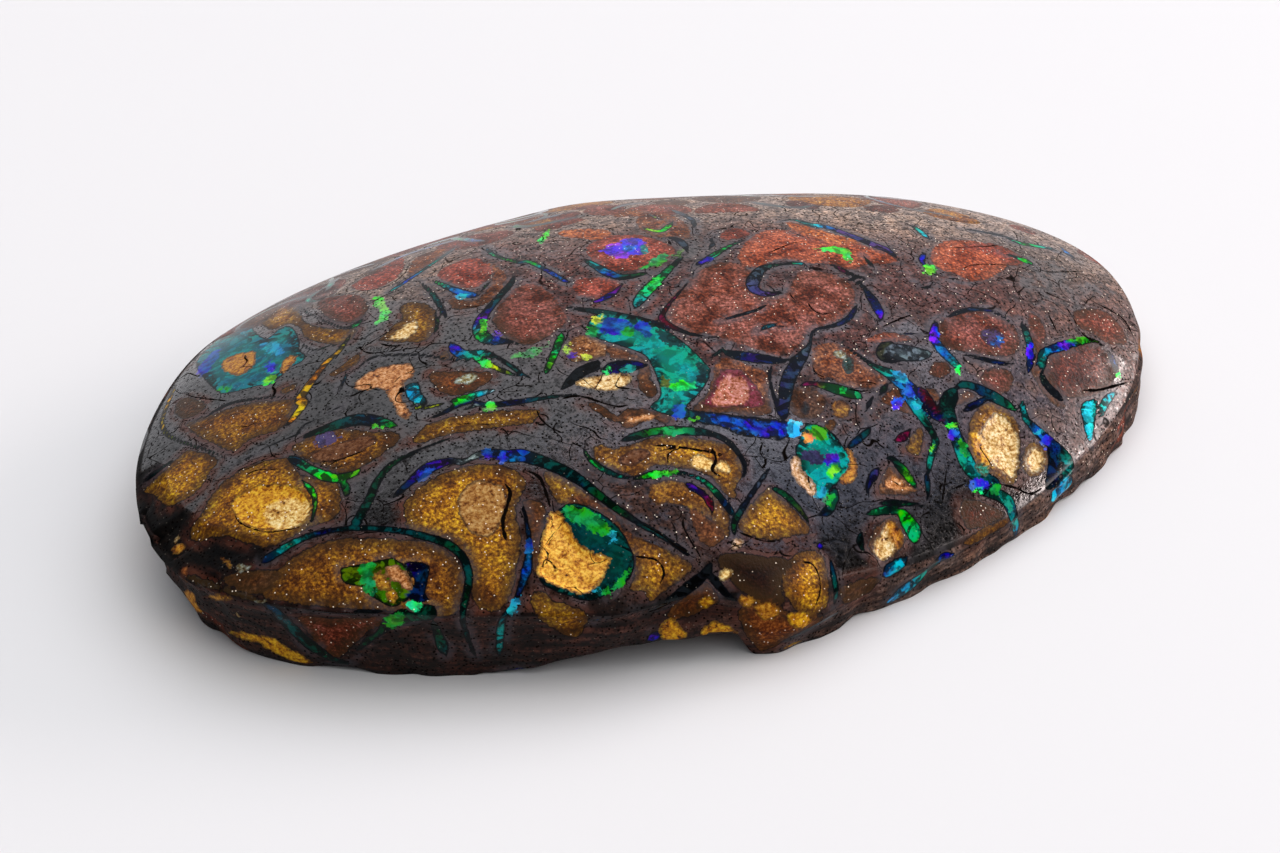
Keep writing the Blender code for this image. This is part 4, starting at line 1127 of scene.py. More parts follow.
POOLS |= {
    "front_green": ("moss", (340, 568), (350, 566), (384, 559), (392, 557), (406, 568), (412, 590), (408, 600),
        (398, 606), (388, 606), (370, 596), (364, 588), (344, 583)),
    "front_navy": ("navy", (404, 564), (412, 561), (428, 564), (430, 572), (426, 592), (430, 600), (418, 603),
        (408, 598), (409, 589), (414, 584), (411, 574)),
    "side_green": ("deep_green", (384, 618), (402, 608), (414, 612), (424, 604), (436, 608), (434, 620), (408, 623),
        (378, 638), (354, 656), (364, 638), (376, 631)),
}
CORES |= {
    "green_chunk": ("peach", (385, 568), (400, 566), (411, 581), (411, 589), (404, 589), (397, 583), (389, 579)),
    "green_olive": ("olive_gold", (373, 575), (379, 571), (392, 585), (385, 590), (377, 588)),
    "green_grain": ("gold", (386, 592), (392, 590), (397, 593), (398, 599), (393, 603), (387, 599)),
    "green_rust": ("rust_gold", (400, 603), (404, 600), (408, 605), (403, 609)),
    "pan_pale": ("pale_gold", (266, 508), (290, 498), (311, 507), (300, 525), (273, 528)),
    "side_gold_left": ("gold", (229, 633), (238, 631), (274, 638), (282, 644), (304, 656), (314, 665), (304, 666),
        (270, 651), (260, 644), (244, 640)),
    "nose_rust": ("rust_gold", (184, 591), (190, 590), (195, 596), (198, 606), (204, 613), (197, 612), (189, 604)),
    "nose_fleck": ("amber", (208, 596), (219, 594), (233, 597), (226, 601), (214, 600)),
    "nose_sliver": ("amber", (220, 558), (224, 556), (230, 563), (232, 569), (226, 566)),
    "nose_pale": ("grey_glass", (235, 568), (240, 563), (246, 566), (252, 567), (241, 573)),
    "nose_amber": ("rust_gold", (170, 551), (176, 544), (184, 543), (185, 549), (177, 554)),
    "nose_brown": ("rust", (180, 566), (188, 568), (187, 577), (181, 573)),
    # Two cream specks on the broken left end are painted highlights, where the chipped glassy surface catches the
    # light.
    "nose_painted_glint_a": ("cream", (174, 542), (179, 534), (181, 537), (177, 543)),
    "nose_painted_glint_c": ("cream", (231, 612), (235, 610), (239, 616), (236, 617)),
    "nose_line": ("grey_glass", (253, 600), (262, 599), (269, 600), (262, 604)),
    "side_gold_mid": ("gold", (659, 630), (664, 621), (672, 618), (687, 634), (680, 640), (664, 641)),
    "side_gold_right": ("gold", (701, 632), (708, 624), (718, 621), (738, 634), (706, 637)),
    "side_gold_foot": ("gold", (782, 650), (788, 645), (803, 641), (799, 648), (788, 652)),
    "foot_gold_a": ("rust_gold", (755, 604), (772, 602), (780, 612), (769, 621), (757, 615)),
    "foot_gold_b": ("gold", (789, 613), (806, 612), (812, 620), (801, 629), (789, 624)),
    "foot_gold_c": ("rust_gold", (738, 597), (748, 595), (756, 600), (750, 607), (739, 604)),
    "edge_gold": ("gold", (697, 603), (703, 596), (712, 598), (714, 605), (703, 609)),
    "ember_spark": ("pale_gold", (719, 574), (724, 568), (733, 571), (729, 580), (721, 580)),
    "edge_spark": ("shell", (731, 544), (735, 538), (744, 541), (740, 549), (733, 550)),
}
SEAMS |= {
    "side_green": (("deep_green", "deep_green", "deep_teal"), (0.3, 0.6, 0.8, 0.5), (431, 618), (437, 631),
        (446, 656)),
    "side_teal": (("navy", "deep_teal", "deep_green", "deep_teal"), (0.5, 0.9, 0.9, 0.7, 0.5), (262, 603),
        (274, 610), (302, 638), (330, 658), (350, 664)),
    "girdle_black": (("potch", "potch"), (0.2, 0.5, 0.5, 0.2), (296, 608), (345, 613), (384, 611)),
    "front_black": (("potch", "potch"), (0.3, 0.6, 0.8, 0.4), (646, 612), (664, 605), (700, 578), (712, 562)),
    "front_fork": (("potch", "potch"), (0.3, 0.6, 0.5, 0.2), (704, 568), (726, 594), (738, 602)),
    "side_gold_mid": (("violet", "violet"), (0.4, 0.9, 0.4), (646, 641), (655, 636), (662, 632)),
}
FLASHES |= {
    "green_glow": ("green", (360, 567), (372, 562), (377, 568), (371, 578), (376, 588), (374, 597), (361, 582)),
    "front_lime": ("neon", (406, 604), (411, 600), (421, 606), (416, 612), (409, 611)),
    "side_glow": ("green", (385, 618), (394, 613), (404, 616), (402, 624), (392, 629), (385, 625)),
}
print("marks:", len(NODULES), "nodules,", len(POOLS), "pools,", len(SEAMS), "seams")
# %% Draw the marks in the order in which they lie
nodules = new_layer()
opal = new_layer()
cores = new_layer()
flashes = new_layer()
cracks = {"away": np.full(len(spots), 9.0), "aside": np.full(len(spots), 9.0), "half": np.full(len(spots), -1.0)}

for outlines, layer in ((NODULES, nodules), (POOLS, opal), (CORES, cores), (FLASHES, flashes)):
    for tint, *points in outlines.values():
        fill(layer, TINTS[tint], points)
SEAMS_CLOSED = 0.86
for tints, widths, *points in SEAMS.values():
    narrowed = [width * SEAMS_CLOSED for width in widths]
    stroke(opal, [TINTS[tint] for tint in tints], narrowed, onto_stone(smooth_line(points)))
# Fillings that are softer than ironstone polished lower: how deep, in millimetres.
SUNK = {"island": 0.22, "cream_egg": 0.2, "bronze_egg": 0.1, "pale_pocket": 0.16, "small_pocket": 0.12,
        "triangle": 0.1, "pan_floor": 0.1, "cream_pocket": 0.08, "broken_heart": 0.1, "druse_glitter": 0.12}
hollows = new_layer()
for name, depth in SUNK.items():
    fill(hollows, "#000000", CORES[name][1:])
    touched = (hollows["inside"] > FAR) & (hollows["tint"][:, 0] == 0.0)
    hollows["tint"][touched, 0] = depth
CRACKS_CLOSED = 0.7
for width, *points in CRACKS.values():
    score(cracks, width * CRACKS_CLOSED, onto_stone(smooth_line(points)))
print(len(NODULES), "nodules,", len(POOLS), "pools,", len(SEAMS), "seams,", len(CRACKS), "cracks")


# %% [markdown]
# ## The sides that face away
#
# The view shows nothing of the back wall and the underside, and next to nothing of the slope that falls away
# at the back. Nodules and seams run through the whole stone, so there they are laid at random, from a fixed
# seed: brown and plum nodules like those of the far rim, and narrow seams that wander from step to step.

# %% Nodules and seams where the view doesn't reach
HIDDEN_SEED = 29
HIDDEN_NODULES = 160
HIDDEN_SEAMS = 80
HIDDEN_TINTS = [TINTS[name] for name in ("rust", "umber", "plum", "dusk", "rust_gold", "garnet_brown")]
HIDDEN_GLASS = ("deep_green", "deep_teal", "navy", "blue", "green", "teal", "potch")
SEAM_STEP = 0.12
lot = random.Random(HIDDEN_SEED)
EDGE_ON = 0.26
hidden = facing < EDGE_ON
unseen = [int(index) for index in np.nonzero(hidden)[0]]
for number in range(HIDDEN_NODULES):
    spot = Vector(spots[lot.choice(unseen)])
    size, seed = lot.uniform(0.5, 2.2), lot.uniform(0.0, 90.0)
    colour = linear(lot.choice(HIDDEN_TINTS))
    for place, index, away in tree.find_range(spot, 1.3 * size + REACH):
        inside = size * (1.0 + 0.3 * wobble(*place, 1.6 * size, seed)) - away
        if hidden[index] and inside > max(nodules["inside"][index], -REACH):
            nodules["inside"][index] = inside
            nodules["tint"][index] = colour
for number in range(HIDDEN_SEAMS):
    index = lot.choice(unseen)
    spot, normal = Vector(spots[index]), Vector(normals[index])
    ahead = normal.cross(Vector([lot.gauss(0.0, 1.0) for _ in range(3)])).normalized()
    bend, line = lot.uniform(-0.05, 0.05), []
    for _ in range(lot.randrange(20, 70)):
        line.append((spot, normal))
        ahead = (Matrix.Rotation(bend, 3, normal) @ ahead).normalized()
        bend += lot.uniform(-0.02, 0.02)
        spot, normal, _, _ = faces_of_stone.find_nearest(spot + ahead * SEAM_STEP)
        ahead = (ahead - normal * ahead.dot(normal)).normalized()
    if all(hidden[tree.find(spot)[1]] for spot, _ in line):
        colours = [TINTS[lot.choice(HIDDEN_GLASS)] for _ in range(4)]
        stroke(opal, colours, [lot.uniform(0.2, 0.7) for _ in range(4)], line)
print("hidden sides:", HIDDEN_NODULES, "nodules and", HIDDEN_SEAMS, "seams")
# %% The ironstone's colour, which drifts from slate through plum clay to a pale far rim of painted sheen
# Each zone has a colour, how much of it is clay instead of bright ironstone, and places where it lies.
# The far zone's pale tan is painted sheen: the veil that the polish shows where the dome falls away at the back.
GROUND_ZONES = {
    "front": ("#120e0d", 0.0, (330, 600), (540, 600), (690, 590), (760, 600), (850, 555), (960, 520)),
    "left": ("#231e1b", 0.0, (180, 520), (200, 440), (250, 400), (330, 440), (330, 360), (300, 500), (430, 350)),
    "middle": ("#282a31", 0.0, (470, 400), (560, 430), (680, 430), (790, 470), (900, 460), (930, 500), (860, 500),
               (520, 440), (760, 450)),
    "field": ("#7a4c34", 0.75, (640, 500), (600, 460), (680, 540), (850, 390), (820, 400)),
    "plum": ("#a45e52", 0.88, (500, 250), (570, 290), (640, 290), (700, 300), (780, 320), (850, 330), (900, 290),
             (950, 300), (1000, 290), (760, 240), (640, 250), (740, 350), (850, 350)),
    # The slate_back and right zones are also lightened by painted sheen, on top of their own slate and plum.
    "slate_back": ("#5a5858", 0.3, (900, 320), (910, 350), (1060, 280), (1030, 290), (690, 250), (1020, 380)),
    "right": ("#b4847a", 0.6, (1110, 310), (1125, 400), (1060, 320), (1110, 430), (1090, 360), (1010, 370)),
    "far": ("#ffe6d6", 1.0, (420, 262), (480, 235), (560, 222), (640, 210), (700, 208), (780, 205), (860, 206),
            (980, 222), (1060, 250), (930, 215)),
}
GROUND_SPREAD = 1.6
ground_tint = np.zeros((len(spots), 3))
clay_share = np.zeros(len(spots))
weights = np.zeros(len(spots))
for tint, clay, *points in GROUND_ZONES.values():
    for middle, _ in onto_stone(points):
        weight = np.exp(-(((spots - np.array(middle)) ** 2).sum(axis=1) ** 0.5) / GROUND_SPREAD)
        ground_tint += weight[:, None] * np.array(linear(tint))
        clay_share += weight * clay
        weights += weight
ground_tint /= weights[:, None]
clay_share /= weights
# Towards the right the side is blended to a pale pink: painted light, where the lamps at the right fall on it.
WALL_TINT = "#80544a"
PALE_LIT_WALL_TINT = "#f4dcd4"
PALE_LIT_WALL_ANGLE = 330.0
PALE_LIT_WALL_HALF_ANGLE = 42.0
WALL_BLEND = 0.75
for index in range(dome_count, len(spots)):
    angle = math.atan2(spots[index, 1] - offset[1], spots[index, 0] - offset[0])
    pale = bell(angle, PALE_LIT_WALL_ANGLE, PALE_LIT_WALL_HALF_ANGLE)
    wall = np.array(linear(WALL_TINT)) * (1.0 - pale) + np.array(linear(PALE_LIT_WALL_TINT)) * pale
    ground_tint[index] += (wall - ground_tint[index]) * WALL_BLEND
print("ground colours laid from", len(GROUND_ZONES), "zones")

# %% The stone as an object, with its marks as attributes
# The polish ends where the left end broke off, and is worn from the girdle except at the right.
DULL_DROP = 0.08
LIPPED_ANGLE = 335.0
LIPPED_HALF_ANGLE = 25.0
polish = np.zeros(len(spots))
polish[:dome_count] = 1.0
for index in range(dome_count):
    x, y = spots[index, 0] - offset[0], spots[index, 1] - offset[1]
    angle = math.atan2(y, x)
    rho = min(1.0, math.hypot(x, y) / oval_reach(angle))
    worn = ease(0.985, 0.999, rho) * (1.0 - bell(angle, LIPPED_ANGLE, LIPPED_HALF_ANGLE))
    worn = max(worn, ease(0.93, 0.97, rho) * bell(angle, WORN_ANGLE, 2.0 * WORN_HALF_ANGLE))
    polish[index] = (1.0 - ease(0.0, DULL_DROP, scarp_at(rho, angle))) * (1.0 - worn)
SUNK_EDGE = 0.45
SUNK_ROUGH = 0.35
for index, vert in enumerate(stone.verts):
    if hollows["inside"][index] > 0.0:
        x, y, z = vert.co
        deep = hollows["tint"][index][0] * ease(0.0, SUNK_EDGE, hollows["inside"][index])
        deep *= 1.0 + SUNK_ROUGH * wobble(x, y, z, 0.7, 60.0)
        vert.co -= vert.normal * deep
stone.normal_update()
mesh = bpy.data.meshes.new("polished_opal")
bmesh.ops.scale(stone, verts=stone.verts, vec=(MM, MM, MM))
stone.to_mesh(mesh)
stone.free()
mesh.shade_smooth()


def keep_number(name, values):
    mesh.attributes.new(name, "FLOAT", "POINT").data.foreach_set("value", np.asarray(values, np.float32))


def keep_tint(name, values):
    four = np.ones((len(values), 4), np.float32)
    four[:, :3] = values
    mesh.attributes.new(name, "FLOAT_COLOR", "POINT").data.foreach_set("color", four.ravel())


for name, layer in (("nodule", nodules), ("opal", opal), ("core", cores), ("flash", flashes)):
    keep_number(name, layer["inside"])
    keep_tint(name + "_tint", layer["tint"])
keep_number("crack_aside", cracks["aside"])
keep_number("crack_half", cracks["half"])
keep_number("polish", polish)
keep_tint("ground", ground_tint)
keep_number("clay", clay_share)

polished_opal = bpy.data.objects.new("polished_opal", mesh)
bpy.context.scene.collection.objects.link(polished_opal)
print("attributes:", [attribute.name for attribute in mesh.attributes if not attribute.name.startswith(".")])

# %% [markdown]
# ## The finish
#
# Four things show in the polish. Ironstone is rich in iron oxides, which bend light far more than glass does,
# so it mirrors the room as a slate sheen. The nodules are clay ironstone: sandy, earthy and hardly mirroring.
# Opal is silica glass and shows its colour through a clear skin. Cracks and pores swallow the light. One
# shader with a painted roughness would give all four the same sheen, so each gets a shader with its own index
# of refraction, and the marks mix them in the order in which they lie.

# %% One function adds a node
finish = bpy.data.materials.new("boulder_opal_in_ironstone")
finish.use_nodes = True
skin = finish.node_tree
skin.nodes.clear()
TIMES, PLUS, LESS, MOST = ({"operation": name} for name in ("MULTIPLY", "ADD", "SUBTRACT", "MAXIMUM"))
SOFT = {"interpolation_type": "SMOOTHSTEP"}
OVER = {"data_type": "RGBA"}
TINTING = {"data_type": "RGBA", "blend_type": "MULTIPLY"}


def rgba(code):
    return (*linear(code), 1.0)


def add(kind, inputs, out=0, **settings):
    """Adds a node with its settings, links or sets its inputs, and returns one of its outputs."""
    node = skin.nodes.new("ShaderNode" + kind)
    stops = settings.pop("stops", ())
    for _ in stops[2:]:
        node.color_ramp.elements.new(0.5)
    for element, (position, code) in zip(node.color_ramp.elements if stops else (), stops):
        element.position = position
        element.color = rgba(code)
    for name, value in settings.items():
        setattr(node, name, value)
    for name, value in inputs.items():
        if isinstance(value, bpy.types.NodeSocket):
            skin.links.new(value, node.inputs[name])
        else:
            node.inputs[name].default_value = value
    return node.outputs[out]


print("material:", finish.name)

# %% Places in millimetres, and the stone's textures from its finest grain to its broadest clouds
# The sand in the nodules is finer than 0.1 mm, too fine to show, so it is drawn at 0.17 mm.
GRAIN = 0.17
LUMP = 0.42
CLOUD = 1.3
DRIFT = 3.6
EDGE_FRAY = 0.08
place = add("Mapping", {0: add("TexCoord", {}, "Object"), "Scale": (1 / MM, 1 / MM, 1 / MM)})
grain = add("TexNoise", {"Vector": place, "Scale": 1 / GRAIN, "Detail": 2.0, "Roughness": 0.6})
lumps = add("TexNoise", {"Vector": place, "Scale": 1 / LUMP, "Detail": 4.0, "Roughness": 0.65})
clouds = add("TexNoise", {"Vector": place, "Scale": 1 / CLOUD, "Detail": 3.0, "Roughness": 0.6})
drift = add("TexNoise", {"Vector": place, "Scale": 1 / DRIFT, "Detail": 2.0, "Roughness": 0.5})
fray = add("MapRange", {0: lumps, 1: 0.3, 2: 0.7, 3: -EDGE_FRAY, 4: EDGE_FRAY}, **SOFT)
print("textures of", GRAIN, LUMP, CLOUD, DRIFT, "mm")


def inside_of(name, share=1.0):
    """How far a place is inside a mark in millimetres, with the mark's edge frayed."""
    return add("Math", {0: fray, 1: share, 2: add("Attribute", {}, "Fac", attribute_name=name)}, operation="MULTIPLY_ADD")


def mottled(colour, texture, *stops):
    """A colour darkened along a texture, by greys or browns at places from 0 to 1."""
    return add("Mix", {0: 1.0, 6: colour, 7: add("ValToRGB", {0: texture}, stops=stops)}, 2, **TINTING)


# %% [markdown]
# ### The ground
#
# Between the nodules lies iron-rich stone, slate in front and plum towards the back, where it holds more clay.
# It is browner close to a nodule, full of pores, and cracked in long smooth lines: shells that run round the
# nodules, and a wide crazing between them. Shell lines come from the distance to the nodules itself, folded
# back and forth, and the crazing is where the cells of a bent Voronoi texture meet.

# %% The ground's colour: clay or slate, darker in clouds, rusty beside a nodule, bedded on the broken sides
polished = add("Attribute", {}, "Fac", attribute_name="polish")
clay_mark = add("Attribute", {}, "Fac", attribute_name="clay")
nodule = inside_of("nodule")
opal_in = inside_of("opal", 0.35)
stone_tint = add("Attribute", {}, "Color", attribute_name="ground")
ground = mottled(stone_tint, lumps, (0.30, "#4e4a48"), (0.45, "#a4a2a0"), (0.58, "#dcdcdc"), (0.70, "#ffffff"))
ground = mottled(ground, clouds, (0.35, "#9c9698"), (0.5, "#dcd6d2"), (0.66, "#ffeedd"))
ground = mottled(ground, grain, (0.32, "#56504e"), (0.47, "#ccc8c6"), (0.60, "#ffffff"))
rusty = add("MapRange", {0: nodule, 1: -0.8, 2: -0.05, 4: 0.75}, **SOFT)
rusty = add("Math", {0: rusty, 1: add("MapRange", {0: clouds, 1: 0.40, 2: 0.58, 3: 0.25}, **SOFT)}, **TIMES)
rusty = add("Math", {0: rusty, 1: add("MapRange", {0: clay_mark, 1: 0.1, 2: 0.6, 3: 1.0, 4: 0.0})}, **TIMES)
ground = add("Mix", {0: rusty, 6: ground, 7: rgba("#5c3020")}, 2, **OVER)
BED_LENGTH, BED_THICKNESS = 2.9, 0.4
flat = add("Mapping", {"Vector": place, "Scale": (1 / BED_LENGTH, 1 / BED_LENGTH, 1 / BED_THICKNESS)})
beds = add("TexNoise", {"Vector": flat, "Scale": 1.0, "Detail": 5.0, "Roughness": 0.65})
bedded = mottled(ground, beds, (0.36, "#2c2220"), (0.46, "#8a7268"), (0.56, "#d0bcae"), (0.66, "#ffffff"))
unpolished = add("MapRange", {0: polished, 1: 0.6, 2: 0.2}, **SOFT)
ground = add("Mix", {0: unpolished, 6: ground, 7: bedded}, 2, **OVER)
print("ground:", len(skin.nodes), "nodes so far")

# %% Where the clay gives way to slate: in patches, and beside nodules and seams
clay_edge = add("Math", {0: clouds, 1: 0.9, 2: clay_mark}, operation="MULTIPLY_ADD")
clay_ground = add("MapRange", {0: clay_edge, 1: 0.86, 2: 1.02}, **SOFT)
near_seam = add("MapRange", {0: opal_in, 1: -0.55, 2: -0.1, 4: 0.75}, **SOFT)
near_nodule = add("MapRange", {0: nodule, 1: -0.45, 2: -0.05, 4: 0.45}, **SOFT)
slate_patch = add("Math", {0: near_seam, 1: near_nodule}, **MOST)
slate_patch = add("Math", {0: slate_patch, 1: add("MapRange", {0: clouds, 1: 0.36, 2: 0.54}, **SOFT)}, **TIMES)
patchy = add("Math", {0: drift, 1: add("Math", {0: clouds, 1: lumps}, **PLUS)}, **PLUS)
slate_patch = add("Math", {0: slate_patch, 1: add("MapRange", {0: patchy, 1: 1.48, 2: 1.8, 4: 0.65}, **SOFT)}, **MOST)
not_far = add("MapRange", {0: clay_mark, 1: 0.88, 2: 0.98, 3: 1.0, 4: 0.2}, **SOFT)
slate_patch = add("Math", {0: slate_patch, 1: not_far}, **TIMES)
tinted = add("Math", {0: slate_patch, 1: clay_mark}, **TIMES)
ground = add("Mix", {0: tinted, 6: ground, 7: rgba("#47454b")}, 2, **OVER)
print("slate patches on the clay:", len(skin.nodes), "nodes so far")

# %% Crack lines in the ground
SHELL = 0.5
CRAZE = 2.6
LINE = 0.035
folded = add("Math", {0: clouds, 1: 0.5, 2: nodule}, operation="MULTIPLY_ADD")
folded = add("Math", {0: folded, 1: SHELL}, operation="PINGPONG")
shells = add("MapRange", {0: folded, 1: LINE, 2: LINE / 3}, **SOFT)
shells = add("Math", {0: shells, 1: add("MapRange", {0: clouds, 1: 0.48, 2: 0.54}, **SOFT)}, **TIMES)
warp = add("TexNoise", {"Vector": place, "Scale": 1 / CLOUD / 2, "Detail": 1.0}, "Color")
bent = add("VectorMath", {0: warp, 1: (3.2, 3.2, 3.2), 2: place}, operation="MULTIPLY_ADD")
crazing = add("TexVoronoi", {"Vector": bent, "Scale": 1 / CRAZE}, feature="DISTANCE_TO_EDGE")
crazing = add("MapRange", {0: crazing, 1: LINE / CRAZE * 1.3, 2: LINE / CRAZE / 2}, **SOFT)
crazing = add("Math", {0: crazing, 1: add("MapRange", {0: clouds, 1: 0.42, 2: 0.5}, **SOFT)}, **TIMES)
lines = add("Math", {0: shells, 1: crazing}, **MOST)
lines = add("Math", {0: lines, 1: add("MapRange", {0: nodule, 1: 0.0, 2: -0.1}, **SOFT)}, **TIMES)
lines = add("Math", {0: lines, 1: add("MapRange", {0: clay_ground, 3: 1.0, 4: 0.9})}, **TIMES)
lines = add("Math", {0: lines, 1: polished}, **TIMES)
print("crack lines about", 2 * LINE, "mm wide in cells of", CRAZE, "mm")

# %% [markdown]
# ### Nodules, opal and cores
#
# A nodule is sandy clay ironstone, darker and browner towards a thin dark rim. Opal looks black where its
# tiny spheres of silica are disordered and shines where they are stacked in order, so its colour is laid in
# soft-edged domains: mostly dark in a narrow seam, brighter in a wide pool. Cores are paler and crumbly.

# %% Nodules
nodule_body = add("Attribute", {}, "Color", attribute_name="nodule_tint")
nodule_body = mottled(nodule_body, grain, (0.30, "#6e5830"), (0.43, "#b09a72"), (0.54, "#e6dac0"), (0.66, "#ffffff"))
nodule_body = mottled(nodule_body, clouds, (0.34, "#94764a"), (0.46, "#dcc8a0"), (0.60, "#ffffff"))
nodule_body = mottled(nodule_body, lumps, (0.32, "#9c886c"), (0.5, "#f0e8d8"), (0.66, "#ffffff"))
# Where the sand grain is pale it is brightened further: painted highlight on grains that would catch the light.
lit_grain_highlight = add("MapRange", {0: grain, 1: 0.54, 2: 0.68, 4: 0.9}, **SOFT)
nodule_body = add("Mix", {0: lit_grain_highlight, 6: nodule_body, 7: nodule_body}, 2, data_type="RGBA", blend_type="SCREEN")
rimmed = add("MapRange", {0: clay_mark, 1: 0.3, 2: 0.9, 3: 1.0, 4: 0.3}, **SOFT)
dark_rim = add("MapRange", {0: nodule, 1: 1.2, 2: 0.05, 4: 0.8}, **SOFT)
dark_rim = add("Math", {0: dark_rim, 1: rimmed}, **TIMES)
nodule_body = add("Mix", {0: dark_rim, 6: nodule_body, 7: rgba("#34220c")}, 2, **OVER)
rim_share = add("Math", {0: rimmed, 1: add("MapRange", {0: nodule, 1: 0.12, 2: 0.05}, **SOFT)}, **TIMES)
nodule_body = add("Mix", {0: rim_share, 6: nodule_body, 7: rgba("#120b0a")}, 2, **OVER)
veiled = add("Math", {0: slate_patch, 1: clay_mark}, **TIMES)
nodule_share = add("MapRange", {0: nodule, 1: -0.02, 2: 0.04}, **SOFT)
colour = add("Mix", {0: nodule_share, 6: ground, 7: nodule_body}, 2, **OVER)
# A greyish band beside the seams, over ground and nodules alike, is painted sheen.
painted_sheen_beside_seams = add("MapRange", {0: opal_in, 1: -0.55, 2: -0.08, 4: 0.55}, **SOFT)
painted_sheen_beside_seams = add("Math", {0: painted_sheen_beside_seams, 1: add("MapRange", {0: clouds, 1: 0.40, 2: 0.60}, **SOFT)}, **TIMES)
colour = add("Mix", {0: painted_sheen_beside_seams, 6: colour, 7: rgba("#403c42")}, 2, **OVER)
print("nodules:", len(skin.nodes), "nodes so far")

# %% Opal, in domains of about 0.45 mm that drift a little in hue
DOMAIN = 0.45
domains = add("TexVoronoi", {"Vector": bent, "Scale": 1 / DOMAIN, "Smoothness": 0.35}, "Color", feature="SMOOTH_F1")
ripple = add("TexNoise", {"Vector": place, "Scale": 1.6 / DOMAIN, "Detail": 5.0, "Roughness": 0.65})
ordered = add("Math", {0: add("SeparateColor", {0: domains}), 1: 0.5, 2: ripple}, operation="MULTIPLY_ADD")
wide = add("MapRange", {0: opal_in, 1: 0.32, 2: 0.85, 3: 0.1, 4: 0.6}, **SOFT)
shine = add("MapRange", {0: ordered, 1: 0.62, 2: 0.95, 3: wide, 4: 1.25}, **SOFT)
play = add("MapRange", {0: add("TexNoise", {"Vector": place, "Scale": 1 / CLOUD}), 1: 0.35, 2: 0.65, 3: 0.46, 4: 0.54})
opal_tint = add("Attribute", {}, "Color", attribute_name="opal_tint")
glass = add("HueSaturation", {"Hue": play, "Saturation": 1.2, "Value": shine, "Color": opal_tint})
opal_rim = add("MapRange", {0: opal_in, 1: 0.16, 2: 0.04}, **SOFT)
glass = add("Mix", {0: opal_rim, 6: glass, 7: rgba("#06080c")}, 2, **OVER)
opal_share = add("MapRange", {0: opal_in, 1: -0.02, 2: 0.04}, **SOFT)
colour = add("Mix", {0: opal_share, 6: colour, 7: glass}, 2, **OVER)
print("opal:", len(skin.nodes), "nodes so far")

# %% Cores
core = inside_of("core")
core_body = add("Attribute", {}, "Color", attribute_name="core_tint")
core_body = mottled(core_body, grain, (0.28, "#8a6434"), (0.42, "#dcc490"), (0.56, "#ffffff"))
core_body = mottled(core_body, lumps, (0.33, "#4e3418"), (0.38, "#c0a070"), (0.50, "#f8ecd4"), (0.60, "#ffffff"))
# The cores get half as much of that painted grain highlight.
core_body = add("Mix", {0: add("Math", {0: lit_grain_highlight, 1: 0.5}, **TIMES), 6: core_body, 7: core_body}, 2, data_type="RGBA", blend_type="SCREEN")
core_rim = add("MapRange", {0: core, 1: 0.22, 2: 0.05, 4: 0.75}, **SOFT)
core_body = add("Mix", {0: core_rim, 6: core_body, 7: rgba("#2a1508")}, 2, **OVER)
core_share = add("MapRange", {0: core, 1: -0.02, 2: 0.04}, **SOFT)
colour = add("Mix", {0: core_share, 6: colour, 7: core_body}, 2, **OVER)
print("cores:", len(skin.nodes), "nodes so far")

# %% Flashes of pure colour in the opal
flash_tint = add("Attribute", {}, "Color", attribute_name="flash_tint")
bright = add("MapRange", {0: ordered, 1: 0.5, 2: 0.9, 3: 0.35, 4: 1.1}, **SOFT)
flash_body = add("HueSaturation", {"Hue": play, "Value": bright, "Color": flash_tint})
flash_share = add("MapRange", {0: inside_of("flash", 2.2), 1: -0.03, 2: 0.06}, **SOFT)
colour = add("Mix", {0: flash_share, 6: colour, 7: flash_body}, 2, **OVER)
print("flashes:", len(skin.nodes), "nodes so far")

# %% [markdown]
# ### Cracks, pores and painted glints
#
# Cracks and pores are hollow, so they swallow light instead of mirroring it; their near-black is painted shade.
# Glints are painted highlights: near-white specks where sandy grains would catch the light. Both are scattered by
# Voronoi textures: each cell holds one point, and a random number for each cell decides whether it shows.

# %% Cracks
aside = add("Math", {0: add("Attribute", {}, "Fac", attribute_name="crack_aside")}, operation="ABSOLUTE")
open_by = add("Math", {0: inside_of("crack_half", 0.45), 1: aside}, **LESS)
crack_share = add("MapRange", {0: open_by, 1: -0.02, 2: 0.02}, **SOFT)
glass_share = add("Math", {0: opal_share, 1: add("Math", {0: 1.0, 1: core_share}, **LESS)}, **TIMES)
stony = add("MapRange", {0: glass_share, 3: 1.0, 4: 0.0})
print("cracks:", len(skin.nodes), "nodes so far")


# %% Pores and painted glints
def scattered(spacing, radius, rarity):
    """Spots in a share of cells of this spacing in millimetres. A rarity of 0.7 leaves 30 in 100 cells."""
    cells = add("TexVoronoi", {"Vector": place, "Scale": 1 / spacing}).node
    spot = add("MapRange", {0: cells.outputs["Distance"], 1: radius / spacing, 2: radius / spacing / 2}, **SOFT)
    lot = add("SeparateColor", {0: cells.outputs["Color"]})
    return add("Math", {0: spot, 1: add("Math", {0: lot, 1: rarity}, operation="GREATER_THAN")}, **TIMES)


slaty = add("Math", {0: stony, 1: add("Math", {0: nodule_share, 1: core_share}, **MOST)}, **LESS)
pores = add("Math", {0: scattered(0.22, 0.08, 0.3), 1: slaty}, **TIMES)
# Painted glints: near-white specks where sandy grains would catch the light.
painted_glints = scattered(0.25, 0.046, 0.6)
